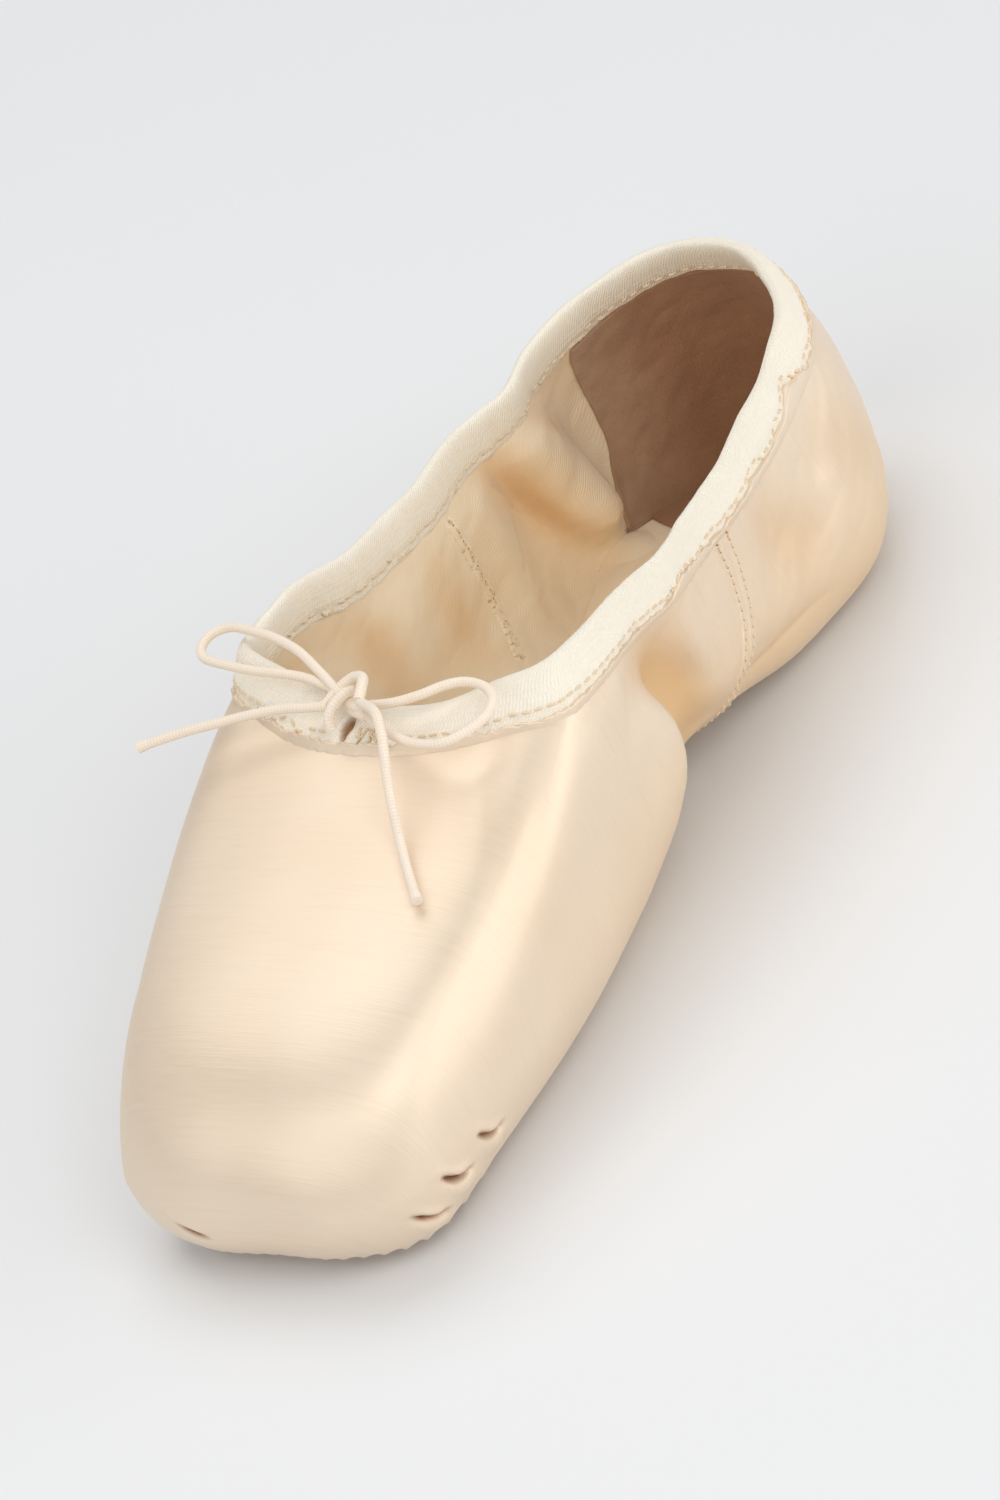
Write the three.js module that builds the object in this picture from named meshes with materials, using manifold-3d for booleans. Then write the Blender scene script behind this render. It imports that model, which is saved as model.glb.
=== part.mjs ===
// A split-sole pointe shoe, standing empty on its sole.
// Millimetres. +X points to the toe, +Y to the left, +Z up; the origin is on the floor under the middle.
// The last is straight, so the shoe fits either foot and its form is the same on both sides.
import * as THREE from "three";
import Module from "manifold-3d";
import { mergeVertices } from "three/addons/utils/BufferGeometryUtils.js";

const wasm = await Module();
wasm.setup();

// ---- Driving dimensions -------------------------------------------------------------------
const shoeLength = 230; // platform to the back of the heel
const ballWidth = 72; // widest place, at the ball of the foot
const platformWidth = 58; // the flat tip that the dancer stands on
const waistWidth = 59; // across the sides at the arch
const heelWidth = 66;
const platformHeight = 34; // brim of the box above the sole's level
const instepHeight = 54.5; // edge of the satin at the throat
const quarterHeight = 44; // edge of the satin at the side seam
const heelHeight = 50.5; // edge of the satin at the back
const vampLength = 76; // platform to the edge of the satin at the throat
const soleThickness = 1.8; // leather of both soles
const gap = 0.3; // between pieces that meet
const boxWall = 3; // satin, canvas and hardened paste of the box
const quarterWall = 1.6; // satin and lining behind the box
const bottomWall = 1.6;
const insoleThickness = 2.2;
const archRise = 7;
const toeSpring = 3;
const bindingHeight = 8.5;
const bindingThickness = 3.2;
const cordDiameter = 1.7;

const platformCut = 0.5; // how much of the rounded tip is cut flat
const toe = shoeLength / 2 + platformCut;
const heel = -shoeLength / 2;
const ball = ballWidth / 2;
const tip = platformWidth / 2;
const waist = waistWidth / 2;
const seat = heelWidth / 2;
const throat = toe - vampLength;
const crown = instepHeight - platformHeight;
const soleLevel = soleThickness + gap; // underside of the upper where it is flat

// ---- The last: one row for each meridian, from the toe round the left side to the heel -----
// outX, outY: the outline at its widest. wide: height of that line. tuck: how far the bottom edge
// lies inside it. spineX: where the meridian meets the middle of the bottom. topX, topY, topZ: the
// edge of the satin under the binding. edge: how far in the shoulder turns from upright to flat.
// rise: how much the vamp climbs from the outline to the edge. square: 2 is round, more is boxy.
// stand: how far the binding is drawn upright.
const meridians = [
  { at: "toe centre", outX: toe, outY: 0, wide: 17, tuck: 7, spineX: 92,
    topX: throat, topY: 0, topZ: instepHeight, edge: 13, rise: crown, square: 2.3,
    wall: boxWall, stand: 0 },
  { at: "platform", outX: toe - 1, outY: 0.55 * tip, wide: 18, tuck: 7, spineX: 90,
    topX: throat - 1.5, topY: 12.5, topZ: instepHeight, edge: 14, rise: crown + 0.5, square: 2.25,
    wall: boxWall, stand: 0.1 },
  { at: "platform corner", outX: toe - 10, outY: tip, wide: 18, tuck: 7, spineX: 84,
    topX: throat - 7, topY: 23.5, topZ: instepHeight - 0.5, edge: 18, rise: 21.5, square: 2.15,
    wall: boxWall, stand: 0.5 },
  { at: "box side", outX: toe - 33, outY: 0.93 * ball, wide: 20.5, tuck: 10.5, spineX: 68,
    topX: throat - 15, topY: 31.6, topZ: instepHeight - 1.6, edge: 26, rise: 18, square: 2,
    wall: boxWall, stand: 0.9 },
  { at: "ball", outX: toe - 65, outY: ball, wide: 23, tuck: 13, spineX: 42,
    topX: throat - 34, topY: 32.8, topZ: instepHeight - 3.7, edge: 30, rise: 11, square: 2,
    wall: 2.6, stand: 0.8 },
  { at: "wing", outX: toe - 102, outY: 0.93 * ball, wide: 24, tuck: 14.5, spineX: 12,
    topX: throat - 50.5, topY: 31.7, topZ: quarterHeight + 2.5, edge: 28, rise: 3, square: 2,
    wall: 2, stand: 0.4 },
  { at: "waist", outX: heel + 93, outY: waist, wide: 24, tuck: 14, spineX: -22,
    topX: heel + 87, topY: 30, topZ: quarterHeight + 0.5, edge: 24, rise: 0, square: 2,
    wall: quarterWall, stand: 0.1 },
  { at: "side seam", outX: heel + 64, outY: 0.95 * seat, wide: 22, tuck: 10, spineX: -54,
    topX: heel + 61.3, topY: 30, topZ: quarterHeight, edge: 26, rise: 0, square: 2,
    wall: quarterWall, stand: 0 },
  { at: "heel side", outX: heel + 34.5, outY: seat, wide: 20.5, tuck: 8.5, spineX: -78,
    topX: heel + 30, topY: 25.8, topZ: heelHeight - 4.5, edge: 28, rise: 0, square: 2,
    wall: quarterWall, stand: 0 },
  { at: "heel corner", outX: heel + 9, outY: 0.54 * seat, wide: 20, tuck: 10, spineX: -88,
    topX: heel + 13.4, topY: 14.1, topZ: heelHeight - 1.3, edge: 28, rise: 0, square: 2,
    wall: quarterWall, stand: 0 },
  { at: "heel centre", outX: heel, outY: 0, wide: 21, tuck: 10, spineX: -92,
    topX: heel + 8.8, topY: 0, topZ: heelHeight, edge: 28, rise: 0, square: 2,
    wall: quarterWall, stand: 0 },
];
const sideways = ["outY", "topY"]; // columns that change sign across the middle

const stepsPerRow = 4;
const bottomSteps = 3;
const turnSteps = 4;
const sideSteps = 10;
const half = (meridians.length - 1) * stepsPerRow;
const around = 2 * half;

// A row of the table, mirrored past either end.
function rowAt(i) {
  const last = meridians.length - 1;
  if (i >= 0 && i <= last) return meridians[i];
  const row = { ...meridians[i < 0 ? -i : 2 * last - i] };
  for (const name of sideways) row[name] = -row[name];
  return row;
}

// The table's columns at place p, smoothly between its rows.
function meridianAt(p) {
  const i = Math.min(Math.floor(p), meridians.length - 2);
  const t = p - i;
  const rows = [rowAt(i - 1), rowAt(i), rowAt(i + 1), rowAt(i + 2)];
  const found = {};
  for (const name of Object.keys(meridians[0])) {
    if (name === "at") continue;
    const [a, b, c, d] = rows.map((row) => row[name]);
    found[name] =
      b + 0.5 * t * (c - a + t * (2 * a - 5 * b + 4 * c - d + t * (3 * (b - c) + d - a)));
  }
  return found;
}

// The meridian of column i, counted round the shoe from the toe.
function column(i) {
  const k = ((i % around) + around) % around;
  const p = (k <= half ? k : around - k) / stepsPerRow;
  const m = meridianAt(p);
  const side = k <= half ? 1 : -1;
  for (const name of sideways) m[name] *= side;
  if (k === 0 || k === half) for (const name of sideways) m[name] = 0;
  return m;
}

// Underside of the upper on the middle line: flat at ball and heel, arched between, sprung at the toe.
const archFront = 24;
const archBack = -58;
const springStart = 86;
function bottomZ(x) {
  const t = (x - archBack) / (archFront - archBack);
  const arch = t > 0 && t < 1 ? 0.5 * archRise * (1 - Math.cos(2 * Math.PI * t)) : 0;
  const spring = x > springStart ? toeSpring * ((x - springStart) / (toe - springStart)) ** 2 : 0;
  return soleLevel + arch + spring;
}

// Rounding of a shoulder: 0 at the outline, 1 from the edge distance inwards.
function shoulder(t, square) {
  const u = 1 - Math.min(t, 1);
  return (1 - u ** square) ** (1 / square);
}

function mix(a, b, t) {
  return a + (b - a) * t;
}

// The feather edge, where the side turns under; a margin moves it further in.
function featherOf(m, margin = 0) {
  const long = Math.hypot(m.outX - m.spineX, m.outY);
  const share = 1 - (m.tuck + margin) / long;
  return { x: mix(m.spineX, m.outX, share), y: m.outY * share };
}

// The outer skin's points up one meridian, from the middle of the bottom to the edge of the satin.
function skin(m) {
  const points = [];
  const feather = featherOf(m);
  for (let k = 0; k <= bottomSteps; k++) {
    const x = mix(m.spineX, feather.x, k / bottomSteps);
    points.push(new THREE.Vector3(x, feather.y * (k / bottomSteps), bottomZ(x)));
  }
  for (let k = 1; k <= turnSteps; k++) {
    const turn = (0.5 * Math.PI * k) / turnSteps;
    const x = mix(feather.x, m.outX, Math.sin(turn));
    const y = mix(feather.y, m.outY, Math.sin(turn));
    points.push(new THREE.Vector3(x, y, mix(m.wide, bottomZ(x), Math.cos(turn))));
  }
  const inset = Math.hypot(m.outX - m.topX, m.outY - m.topY);
  const top = m.wide + (m.topZ - m.wide) / shoulder(inset / m.edge, m.square);
  for (let k = 1; k <= sideSteps; k++) {
    const t = (k / sideSteps) ** 2;
    const height = top - m.rise * (1 - t) - m.wide;
    const z = m.wide + height * shoulder((t * inset) / m.edge, m.square);
    points.push(new THREE.Vector3(mix(m.outX, m.topX, t), mix(m.outY, m.topY, t), z));
  }
  return points;
}

const outerSkin = Array.from({ length: around }, (_, i) => skin(column(i)));
const rowCount = outerSkin[0].length;

// Outward normal of the skin at a point of the grid.
function normalAt(i, j) {
  const left = outerSkin[(i + 1) % around][j];
  const right = outerSkin[(i + around - 1) % around][j];
  const above = outerSkin[i][Math.min(j + 1, rowCount - 1)];
  const below = outerSkin[i][Math.max(j - 1, 0)];
  if (j === 0) return new THREE.Vector3(0, 0, -1);
  const along = above.clone().sub(below);
  return left.clone().sub(right).cross(along).normalize();
}

// The wall is thin beneath, stiff in the sides and thin again at the edge of the satin.
function wallAt(m, j) {
  const turned = Math.min(1, Math.max(0, (j - bottomSteps) / turnSteps));
  const climbed = Math.max(0, (j - bottomSteps - turnSteps) / sideSteps);
  return mix(bottomWall, mix(m.wall, quarterWall, climbed ** 4), turned);
}

const innerSkin = outerSkin.map((points, i) => {
  const m = column(i);
  return points.map((point, j) => point.clone().addScaledVector(normalAt(i, j), -wallAt(m, j)));
});

// ---- From rings of points to solids --------------------------------------------------------
// A grid's columns run round the shoe; cells between neighbouring columns become two triangles.
function pushGrid(triangles, columns, flip) {
  const n = columns.length;
  for (let i = 0; i < n; i++) {
    const a = columns[i];
    const b = columns[(i + 1) % n];
    for (let j = 0; j + 1 < a.length; j++) {
      const quad = flip ? [b[j], a[j], a[j + 1], b[j + 1]] : [a[j], b[j], b[j + 1], a[j + 1]];
      triangles.push([quad[0], quad[1], quad[2]], [quad[0], quad[2], quad[3]]);
    }
  }
}

function geometryOf(triangles) {
  const places = triangles.flat().flatMap((p) => [p.x, p.y, p.z]);
  const made = new THREE.BufferGeometry();
  made.setAttribute("position", new THREE.Float32BufferAttribute(places, 3));
  return made;
}

function solidOf(geometry) {
  const bare = new THREE.BufferGeometry();
  const source = geometry.index ? geometry.toNonIndexed() : geometry;
  bare.setAttribute("position", source.getAttribute("position"));
  const merged = mergeVertices(bare, 1e-3);
  const corners = [];
  for (let i = 0; i < merged.index.count; i += 3) {
    const [a, b, c] = [0, 1, 2].map((k) => merged.index.getX(i + k));
    if (a !== b && b !== c && c !== a) corners.push(a, b, c);
  }
  return new wasm.Manifold(
    new wasm.Mesh({
      numProp: 3,
      vertProperties: merged.attributes.position.array,
      triVerts: new Uint32Array(corners),
    }),
  );
}

function geometryFrom(solid) {
  const mesh = solid.getMesh();
  const made = new THREE.BufferGeometry();
  const places = new Float32Array(mesh.numVert * 3);
  for (let i = 0; i < mesh.numVert; i++)
    places.set(mesh.vertProperties.subarray(i * mesh.numProp, i * mesh.numProp + 3), i * 3);
  made.setAttribute("position", new THREE.BufferAttribute(places, 3));
  made.setIndex(new THREE.BufferAttribute(mesh.triVerts, 1));
  return made;
}

// ---- Flat pieces: rows of x and half width, from the front to the back ----------------------
// A plate follows the underside of the upper at a height above it.
function plate(rows, height, thickness) {
  const triangles = [];
  const corners = rows.map(([x, half]) => {
    const low = bottomZ(x) + height;
    const place = (y, z) => new THREE.Vector3(x, y, z);
    return [place(half, low), place(-half, low), place(-half, low + thickness), place(half, low + thickness)];
  });
  for (let k = 0; k + 1 < corners.length; k++) {
    for (let side = 0; side < 4; side++) {
      const next = (side + 1) % 4;
      const [a, b] = [corners[k][side], corners[k][next]];
      const [c, d] = [corners[k + 1][next], corners[k + 1][side]];
      triangles.push([a, b, c], [a, c, d]);
    }
  }
  const [front, back] = [corners[0], corners[corners.length - 1]];
  triangles.push([front[0], front[2], front[1]], [front[0], front[3], front[2]]);
  triangles.push([back[0], back[1], back[2]], [back[0], back[2], back[3]]);
  return solidOf(geometryOf(triangles));
}

// A smooth outline through a table's rows, in even steps.
function smoothRows(table, steps) {
  const curve = new THREE.CatmullRomCurve3(table.map(([x, half]) => new THREE.Vector3(x, half, 0)));
  return curve.getSpacedPoints(steps).map((p) => [p.x, Math.max(p.y, 0)]);
}

// x, half width
const forefootSole = [
  [98.5, 1], [97.5, 8], [94, 14.5], [86, 19.5], [72, 22.8], [56, 23.6], [40, 22.8], [24, 20], [12, 16.5],
  [3, 12], [-1, 7], [-2.5, 1],
];
const heelSole = [
  [-43.5, 1], [-44.8, 7], [-49, 13], [-57, 18], [-68, 21.2], [-79, 22.2], [-90, 20.6], [-98, 16.2],
  [-103, 9], [-104.5, 1],
];
const forefootWindow = [[84, 2], [82, 8], [74, 13], [58, 15.5], [40, 14.5], [26, 11], [19, 6], [17.5, 2]];
const heelWindow = [[-62, 2], [-63.5, 7], [-69, 11.5], [-79, 13.5], [-88, 11.5], [-93, 7], [-94.5, 2]];

// ---- Upper ---------------------------------------------------------------------------------
// One hollow shell, open at the collar and, over each sole, underneath; the platform is cut flat.
function upperSolid() {
  const triangles = [];
  const shell = outerSkin.map((points, i) => [...points, ...innerSkin[i].slice().reverse()]);
  pushGrid(triangles, shell, false);
  const beyond = new THREE.BoxGeometry(20, 2 * ballWidth, 200);
  beyond.translate(toe - platformCut + 10, 0, 0);
  return solidOf(geometryOf(triangles))
    .subtract(solidOf(beyond))
    .subtract(plate(smoothRows(forefootWindow, 24), -2, bottomWall + 4))
    .subtract(plate(smoothRows(heelWindow, 20), -2, bottomWall + 4));
}

// ---- Insole --------------------------------------------------------------------------------
const insoleMargin = 1;
function insoleSolid() {
  const rows = [];
  for (let k = 0; k <= half; k++) {
    const edge = featherOf(column(k), insoleMargin);
    rows.push([edge.x, edge.y]);
  }
  return plate(rows, bottomWall + gap, insoleThickness);
}

// ---- Binding: a folded tape that stands on the edge of the satin, all round the collar ------
const bindingSides = 12;
const bindingSquare = 2.8;
const bindingBlend = 3; // columns either side that share a direction, to ease the collar's corners

// Direction up the wall at the collar, square to the collar's edge.
function wallUp(i) {
  const edge = (k) => outerSkin[(k + around) % around][rowCount - 1];
  const along = edge(i + 1).clone().sub(edge(i - 1)).normalize();
  const up = edge(i).clone().sub(outerSkin[(i + around) % around][rowCount - 2]);
  return up.addScaledVector(along, -up.dot(along)).normalize();
}

function bindingSolid() {
  const rings = outerSkin.map((points, i) => {
    const edge = points[rowCount - 1];
    const inner = innerSkin[i][rowCount - 1];
    const up = new THREE.Vector3();
    for (let k = -bindingBlend; k <= bindingBlend; k++) up.add(wallUp(i + k));
    up.normalize();
    up.z += column(i).stand;
    up.normalize();
    const out = edge.clone().sub(inner);
    out.addScaledVector(up, -out.dot(up)).normalize();
    const centre = edge.clone().add(inner).multiplyScalar(0.5);
    centre.addScaledVector(up, 2 * gap + bindingHeight / 2);
    const ring = [];
    for (let k = 0; k < bindingSides; k++) {
      const turn = (2 * Math.PI * (k + 0.5)) / bindingSides;
      const across = Math.sign(Math.cos(turn)) * Math.abs(Math.cos(turn)) ** (2 / bindingSquare);
      const high = Math.sign(Math.sin(turn)) * Math.abs(Math.sin(turn)) ** (2 / bindingSquare);
      const point = centre.clone().addScaledVector(out, (across * bindingThickness) / 2);
      ring.push(point.addScaledVector(up, (high * bindingHeight) / 2));
    }
    ring.push(ring[0]);
    return ring;
  });
  const triangles = [];
  pushGrid(triangles, rings, false);
  return solidOf(geometryOf(triangles));
}

// ---- Bow: the drawstring's knot, two loops and two ends -------------------------------------
const knotAt = new THREE.Vector3(35, -3.9, 60.6);
const knotSize = new THREE.Vector3(3.4, 3.4, 2.5); // half of its length, width and height
const cords = [
  { name: "bow_loop_left", steps: 36, path: [
    [32.8, -6.7, 61.1], [28.6, -12.8, 62.8], [25.1, -18.1, 63.8], [22.3, -24.4, 64.3], [20.7, -29.5, 64.2],
    [19.5, -33.5, 64], [19.5, -35.9, 63.7], [20.9, -37.9, 63.5], [23.2, -38.6, 63.2], [25.5, -37.8, 63],
    [26.9, -35.9, 62.7], [28.3, -30.5, 62.6], [29.2, -25.5, 62.5], [29.6, -19.5, 62.3], [29.9, -14.5, 61.7],
    [31, -9.4, 60.6]] },
  { name: "bow_loop_right", steps: 32, path: [
    [35.6, 0, 60.8], [36.1, 5.9, 62], [34.7, 10.6, 62.6], [32, 14.1, 62.6], [30.3, 17.3, 62.2],
    [30.7, 21.1, 61.6], [33.3, 23.8, 61], [37.4, 24.1, 60.6], [41.3, 22.1, 60.4], [44, 18.9, 60.2],
    [44.2, 14.1, 60], [41.9, 7.7, 60], [37.1, 0.6, 59.8]] },
  { name: "bow_end_left", steps: 20, path: [
    [35.1, -8.4, 60], [36.1, -11.4, 60.4], [36.8, -17.1, 60.4], [38.3, -23.1, 60], [40.1, -29.1, 59.4],
    [42, -35, 58.8], [44.8, -42.3, 57.8]] },
  { name: "bow_end_down", steps: 26, path: [
    [36.4, -0.4, 62.3], [40.5, 5.2, 63.6], [44.4, 8.1, 62.8], [47.5, 9.6, 60.8], [50.9, 10.9, 58],
    [54.9, 12.8, 55], [58.5, 14.6, 51], [63.5, 17.8, 48.6], [68.6, 21.4, 46.7]] },
];

function cordGeometry(row) {
  const outline = new THREE.Shape();
  for (let k = 0; k < 8; k++) {
    const turn = (Math.PI * (k + 0.5)) / 4;
    const [x, y] = [0.5 * cordDiameter * Math.cos(turn), 0.5 * cordDiameter * Math.sin(turn)];
    if (k === 0) outline.moveTo(x, y);
    else outline.lineTo(x, y);
  }
  const path = new THREE.CatmullRomCurve3(row.path.map((p) => new THREE.Vector3(...p)));
  return new THREE.ExtrudeGeometry(outline, { steps: row.steps, extrudePath: path, bevelEnabled: false });
}

function knotGeometry() {
  const lump = new THREE.SphereGeometry(1, 14, 10);
  lump.scale(knotSize.x, knotSize.y, knotSize.z);
  lump.translate(knotAt.x, knotAt.y, knotAt.z);
  return lump;
}

// ---- The shoe ------------------------------------------------------------------------------
function surface(color, roughness) {
  return new THREE.MeshStandardMaterial({ color, roughness, metalness: 0 });
}

const group = new THREE.Group();
function add(name, solid, material) {
  const mesh = new THREE.Mesh(geometryFrom(solid), material);
  mesh.name = name;
  group.add(mesh);
}

const outsoleDrop = -gap - soleThickness;
add("upper", upperSolid(), surface(0xf0d6b4, 0.4));
add("insole", insoleSolid(), surface(0x9a7258, 0.9));
add("outsole_forefoot", plate(smoothRows(forefootSole, 40), outsoleDrop, soleThickness), surface(0xc08a60, 0.7));
add("outsole_heel", plate(smoothRows(heelSole, 32), outsoleDrop, soleThickness), surface(0xc08a60, 0.7));
add("binding", bindingSolid(), surface(0xf2e4cc, 0.85));
add("bow_knot", solidOf(knotGeometry()), surface(0xf2e2c8, 0.8));
for (const row of cords) add(row.name, solidOf(cordGeometry(row)), surface(0xf2e2c8, 0.8));

export default group;
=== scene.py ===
import math

import bpy
import numpy as np
from mathutils import Matrix, Vector, noise
from mathutils.bvhtree import BVHTree


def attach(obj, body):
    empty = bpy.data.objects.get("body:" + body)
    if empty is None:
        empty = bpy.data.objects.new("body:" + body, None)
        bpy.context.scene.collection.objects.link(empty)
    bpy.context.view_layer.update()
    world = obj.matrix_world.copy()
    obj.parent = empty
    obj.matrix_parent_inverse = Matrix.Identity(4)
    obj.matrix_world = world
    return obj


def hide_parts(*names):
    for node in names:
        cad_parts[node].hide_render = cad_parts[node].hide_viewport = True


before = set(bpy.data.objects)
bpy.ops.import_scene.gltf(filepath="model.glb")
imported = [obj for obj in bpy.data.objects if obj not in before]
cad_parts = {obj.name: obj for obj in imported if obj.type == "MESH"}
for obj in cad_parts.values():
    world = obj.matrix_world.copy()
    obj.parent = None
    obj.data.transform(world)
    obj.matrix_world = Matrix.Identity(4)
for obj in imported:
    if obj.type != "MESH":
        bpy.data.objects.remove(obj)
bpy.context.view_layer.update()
bpy.ops.object.select_all(action="DESELECT")

# ---- Studio ---------------------------------------------------------------------------------------
# A plain pale floor that runs out of sight, under four large soft lights: overhead, before the toe, to
# the left in front, and low to the left behind. The camera looks down on the toe, rolled so that the
# shoe points down to the left.
azimuth, elevation, roll = math.radians(38.7), math.radians(33.3), math.radians(21.9)
aim = Vector((0.0029, -0.0031, 0.0245))
stand_off = 1.3
sideways = math.cos(elevation)
back = Vector((sideways * math.cos(azimuth), sideways * math.sin(azimuth), math.sin(elevation)))
level = Vector((-math.sin(azimuth), math.cos(azimuth), 0))
steep = back.cross(level)
right = math.cos(roll) * level - math.sin(roll) * steep
up = math.sin(roll) * level + math.cos(roll) * steep
bpy.ops.object.camera_add(location=aim + stand_off * back)
camera = bpy.context.object
camera.rotation_euler = Matrix((right, up, back)).transposed().to_euler()
camera.data.lens, camera.data.clip_end = 180, 20
bpy.context.scene.camera = camera
bpy.context.scene.view_settings.view_transform = "Standard"


def softbox(name, place, width, height, power, colour):
    """A soft light turned to the shoe: its place and sides in metres, its power in watts."""
    bpy.ops.object.light_add(type="AREA", location=place)
    lamp = bpy.context.object
    lamp.name = name
    lamp.rotation_euler = (Vector((0, 0, 0.03)) - Vector(place)).to_track_quat("-Z", "Y").to_euler()
    lamp.data.shape = "RECTANGLE"
    lamp.data.size, lamp.data.size_y = width, height
    lamp.data.energy = power
    lamp.data.color = colour


softbox("key_light", (-0.45, -0.45, 1.40), 1.4, 1.2, 9.0, (1, 0.995, 0.985))
softbox("front_light", (1.20, -0.10, 0.85), 1.4, 1.0, 6.0, (1, 0.995, 0.98))
softbox("fill_light", (0.50, 1.15, 1.25), 1.0, 0.9, 7.4, (1, 0.995, 0.98))
softbox("side_light", (-0.55, 1.60, 0.35), 1.7, 0.9, 11, (1, 0.99, 0.97))

world = bpy.data.worlds.new("studio")
bpy.context.scene.world = world
world.use_nodes = True
sky = world.node_tree.nodes["Background"].inputs
sky["Color"].default_value = (0.9, 0.92, 0.95, 1)
sky["Strength"].default_value = 0.45


class Wire:
    """One output in a finish; an expression on it adds Math nodes."""

    def __init__(self, finish, socket):
        self.finish, self.socket = finish, socket

    def maths(self, operation, *values):
        return self.finish.node("Math", {"operation": operation}, dict(enumerate(values)))

    def __add__(self, other):
        return self.maths("ADD", self, other)

    def __radd__(self, other):
        return self.maths("ADD", other, self)

    def __sub__(self, other):
        return self.maths("SUBTRACT", self, other)

    def __rsub__(self, other):
        return self.maths("SUBTRACT", other, self)

    def __mul__(self, other):
        return self.maths("MULTIPLY", self, other)

    def __rmul__(self, other):
        return self.maths("MULTIPLY", other, self)

    def sine(self):
        return self.maths("SINE", self)

    def between(self, low, high):
        """0 below low, 1 above high, straight between."""
        settings = {"clamp": True}
        return self.finish.node("MapRange", settings, {"Value": self, "From Min": low, "From Max": high})


class Finish:
    """A material whose nodes are added one at a time."""

    def __init__(self, name):
        self.material = bpy.data.materials.new(name)
        self.material.use_nodes = True
        self.tree = self.material.node_tree
        self.shader = self.tree.nodes["Principled BSDF"]

    def node(self, kind, settings=None, sockets=None, out=0):
        made = self.tree.nodes.new("ShaderNode" + kind)
        for name, value in (settings or {}).items():
            setattr(made, name, value)
        for name, value in (sockets or {}).items():
            if isinstance(value, Wire):
                self.tree.links.new(value.socket, made.inputs[name])
            else:
                made.inputs[name].default_value = value
        return Wire(self, made.outputs[out])

    def place(self):
        return self.node("TexCoord", out=3)

    def laid(self):
        """The piece's own UV map, in metres along and across it."""
        return self.node("UVMap", {"uv_map": "UVMap"})

    def parts(self, vector):
        split = self.node("SeparateXYZ", sockets={0: vector})
        return [Wire(self, socket) for socket in split.socket.node.outputs]

    def vector(self, x, y, z):
        return self.node("CombineXYZ", sockets={0: x, 1: y, 2: z})

    def stretched(self, vector, x, y, z):
        return self.node("VectorMath", {"operation": "MULTIPLY"}, {0: vector, 1: (x, y, z)})

    def noise(self, vector, scale, detail=2.0, rough=0.5):
        sockets = {"Vector": vector, "Scale": scale, "Detail": detail, "Roughness": rough}
        return self.node("TexNoise", sockets=sockets)

    def blend(self, share, low, high):
        """From the colour low to the colour high."""
        settings = {"data_type": "RGBA", "clamp_factor": True}
        return self.node("Mix", settings, {0: share, 6: low, 7: high}, out=2)

    def mark(self, name):
        """A number kept on the mesh at each point."""
        return self.node("Attribute", {"attribute_name": name}, out=2)

    def relief(self, height, depth, strength):
        return self.node("Bump", sockets={"Height": height, "Distance": depth, "Strength": strength})

    def wear(self, **inputs):
        """Sets the shader's sockets, by number or by wire."""
        for name, value in inputs.items():
            socket = self.shader.inputs[name.replace("_", " ")]
            if isinstance(value, Wire):
                self.tree.links.new(value.socket, socket)
            else:
                socket.default_value = value
        return self.material


def floor_paint():
    paint = Finish("floor_paint")
    grain = paint.noise(paint.place(), 2.0, 3.0)
    colour = paint.blend(grain, (0.80, 0.802, 0.808, 1), (0.825, 0.827, 0.832, 1))
    return paint.wear(Base_Color=colour, Roughness=0.55)


bpy.ops.mesh.primitive_plane_add(size=12)
floor = bpy.context.object
floor.name = "studio_floor"
floor.data.materials.append(floor_paint())

# ---- Bow cords ------------------------------------------------------------------------------------
# The drawstring is one soft round elastic cord with a fine braided cotton cover. Outside its knot lie
# two loops over the throat, one cut end that hangs to the side and one that runs down the vamp.
cord_width = 0.0017
ropes = {
    "bow_loop_left": [
        (0.0328, -0.0067, 0.0611), (0.0286, -0.0128, 0.0628), (0.0251, -0.0181, 0.0638),
        (0.0223, -0.0244, 0.0643), (0.0207, -0.0295, 0.0642), (0.0195, -0.0335, 0.0640),
        (0.0195, -0.0359, 0.0637), (0.0209, -0.0379, 0.0635), (0.0232, -0.0386, 0.0632),
        (0.0255, -0.0378, 0.0630), (0.0269, -0.0359, 0.0627), (0.0283, -0.0305, 0.0626),
        (0.0292, -0.0255, 0.0625), (0.0296, -0.0195, 0.0623), (0.0299, -0.0145, 0.0617),
        (0.0310, -0.0094, 0.0606),
    ],
    "bow_loop_right": [
        (0.0356, 0.0000, 0.0608), (0.0361, 0.0059, 0.0620), (0.0347, 0.0106, 0.0626),
        (0.0320, 0.0141, 0.0626), (0.0303, 0.0173, 0.0622), (0.0307, 0.0211, 0.0616),
        (0.0333, 0.0238, 0.0610), (0.0374, 0.0241, 0.0606), (0.0413, 0.0221, 0.0604),
        (0.0440, 0.0189, 0.0602), (0.0442, 0.0141, 0.0600), (0.0419, 0.0077, 0.0600),
        (0.0371, 0.0006, 0.0598),
    ],
    "bow_end_left": [
        (0.0351, -0.0084, 0.0600), (0.0361, -0.0114, 0.0604), (0.0368, -0.0171, 0.0604),
        (0.0383, -0.0231, 0.0600), (0.0401, -0.0291, 0.0594), (0.0420, -0.0350, 0.0588),
        (0.0448, -0.0423, 0.0578),
    ],
    "bow_end_down": [
        (0.0364, -0.0004, 0.0623), (0.0405, 0.0052, 0.0636), (0.0444, 0.0081, 0.0628),
        (0.0475, 0.0096, 0.0608), (0.0509, 0.0109, 0.0580), (0.0549, 0.0128, 0.0550),
        (0.0585, 0.0146, 0.0510), (0.0635, 0.0178, 0.0486), (0.0686, 0.0214, 0.0467),
    ],
}


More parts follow.
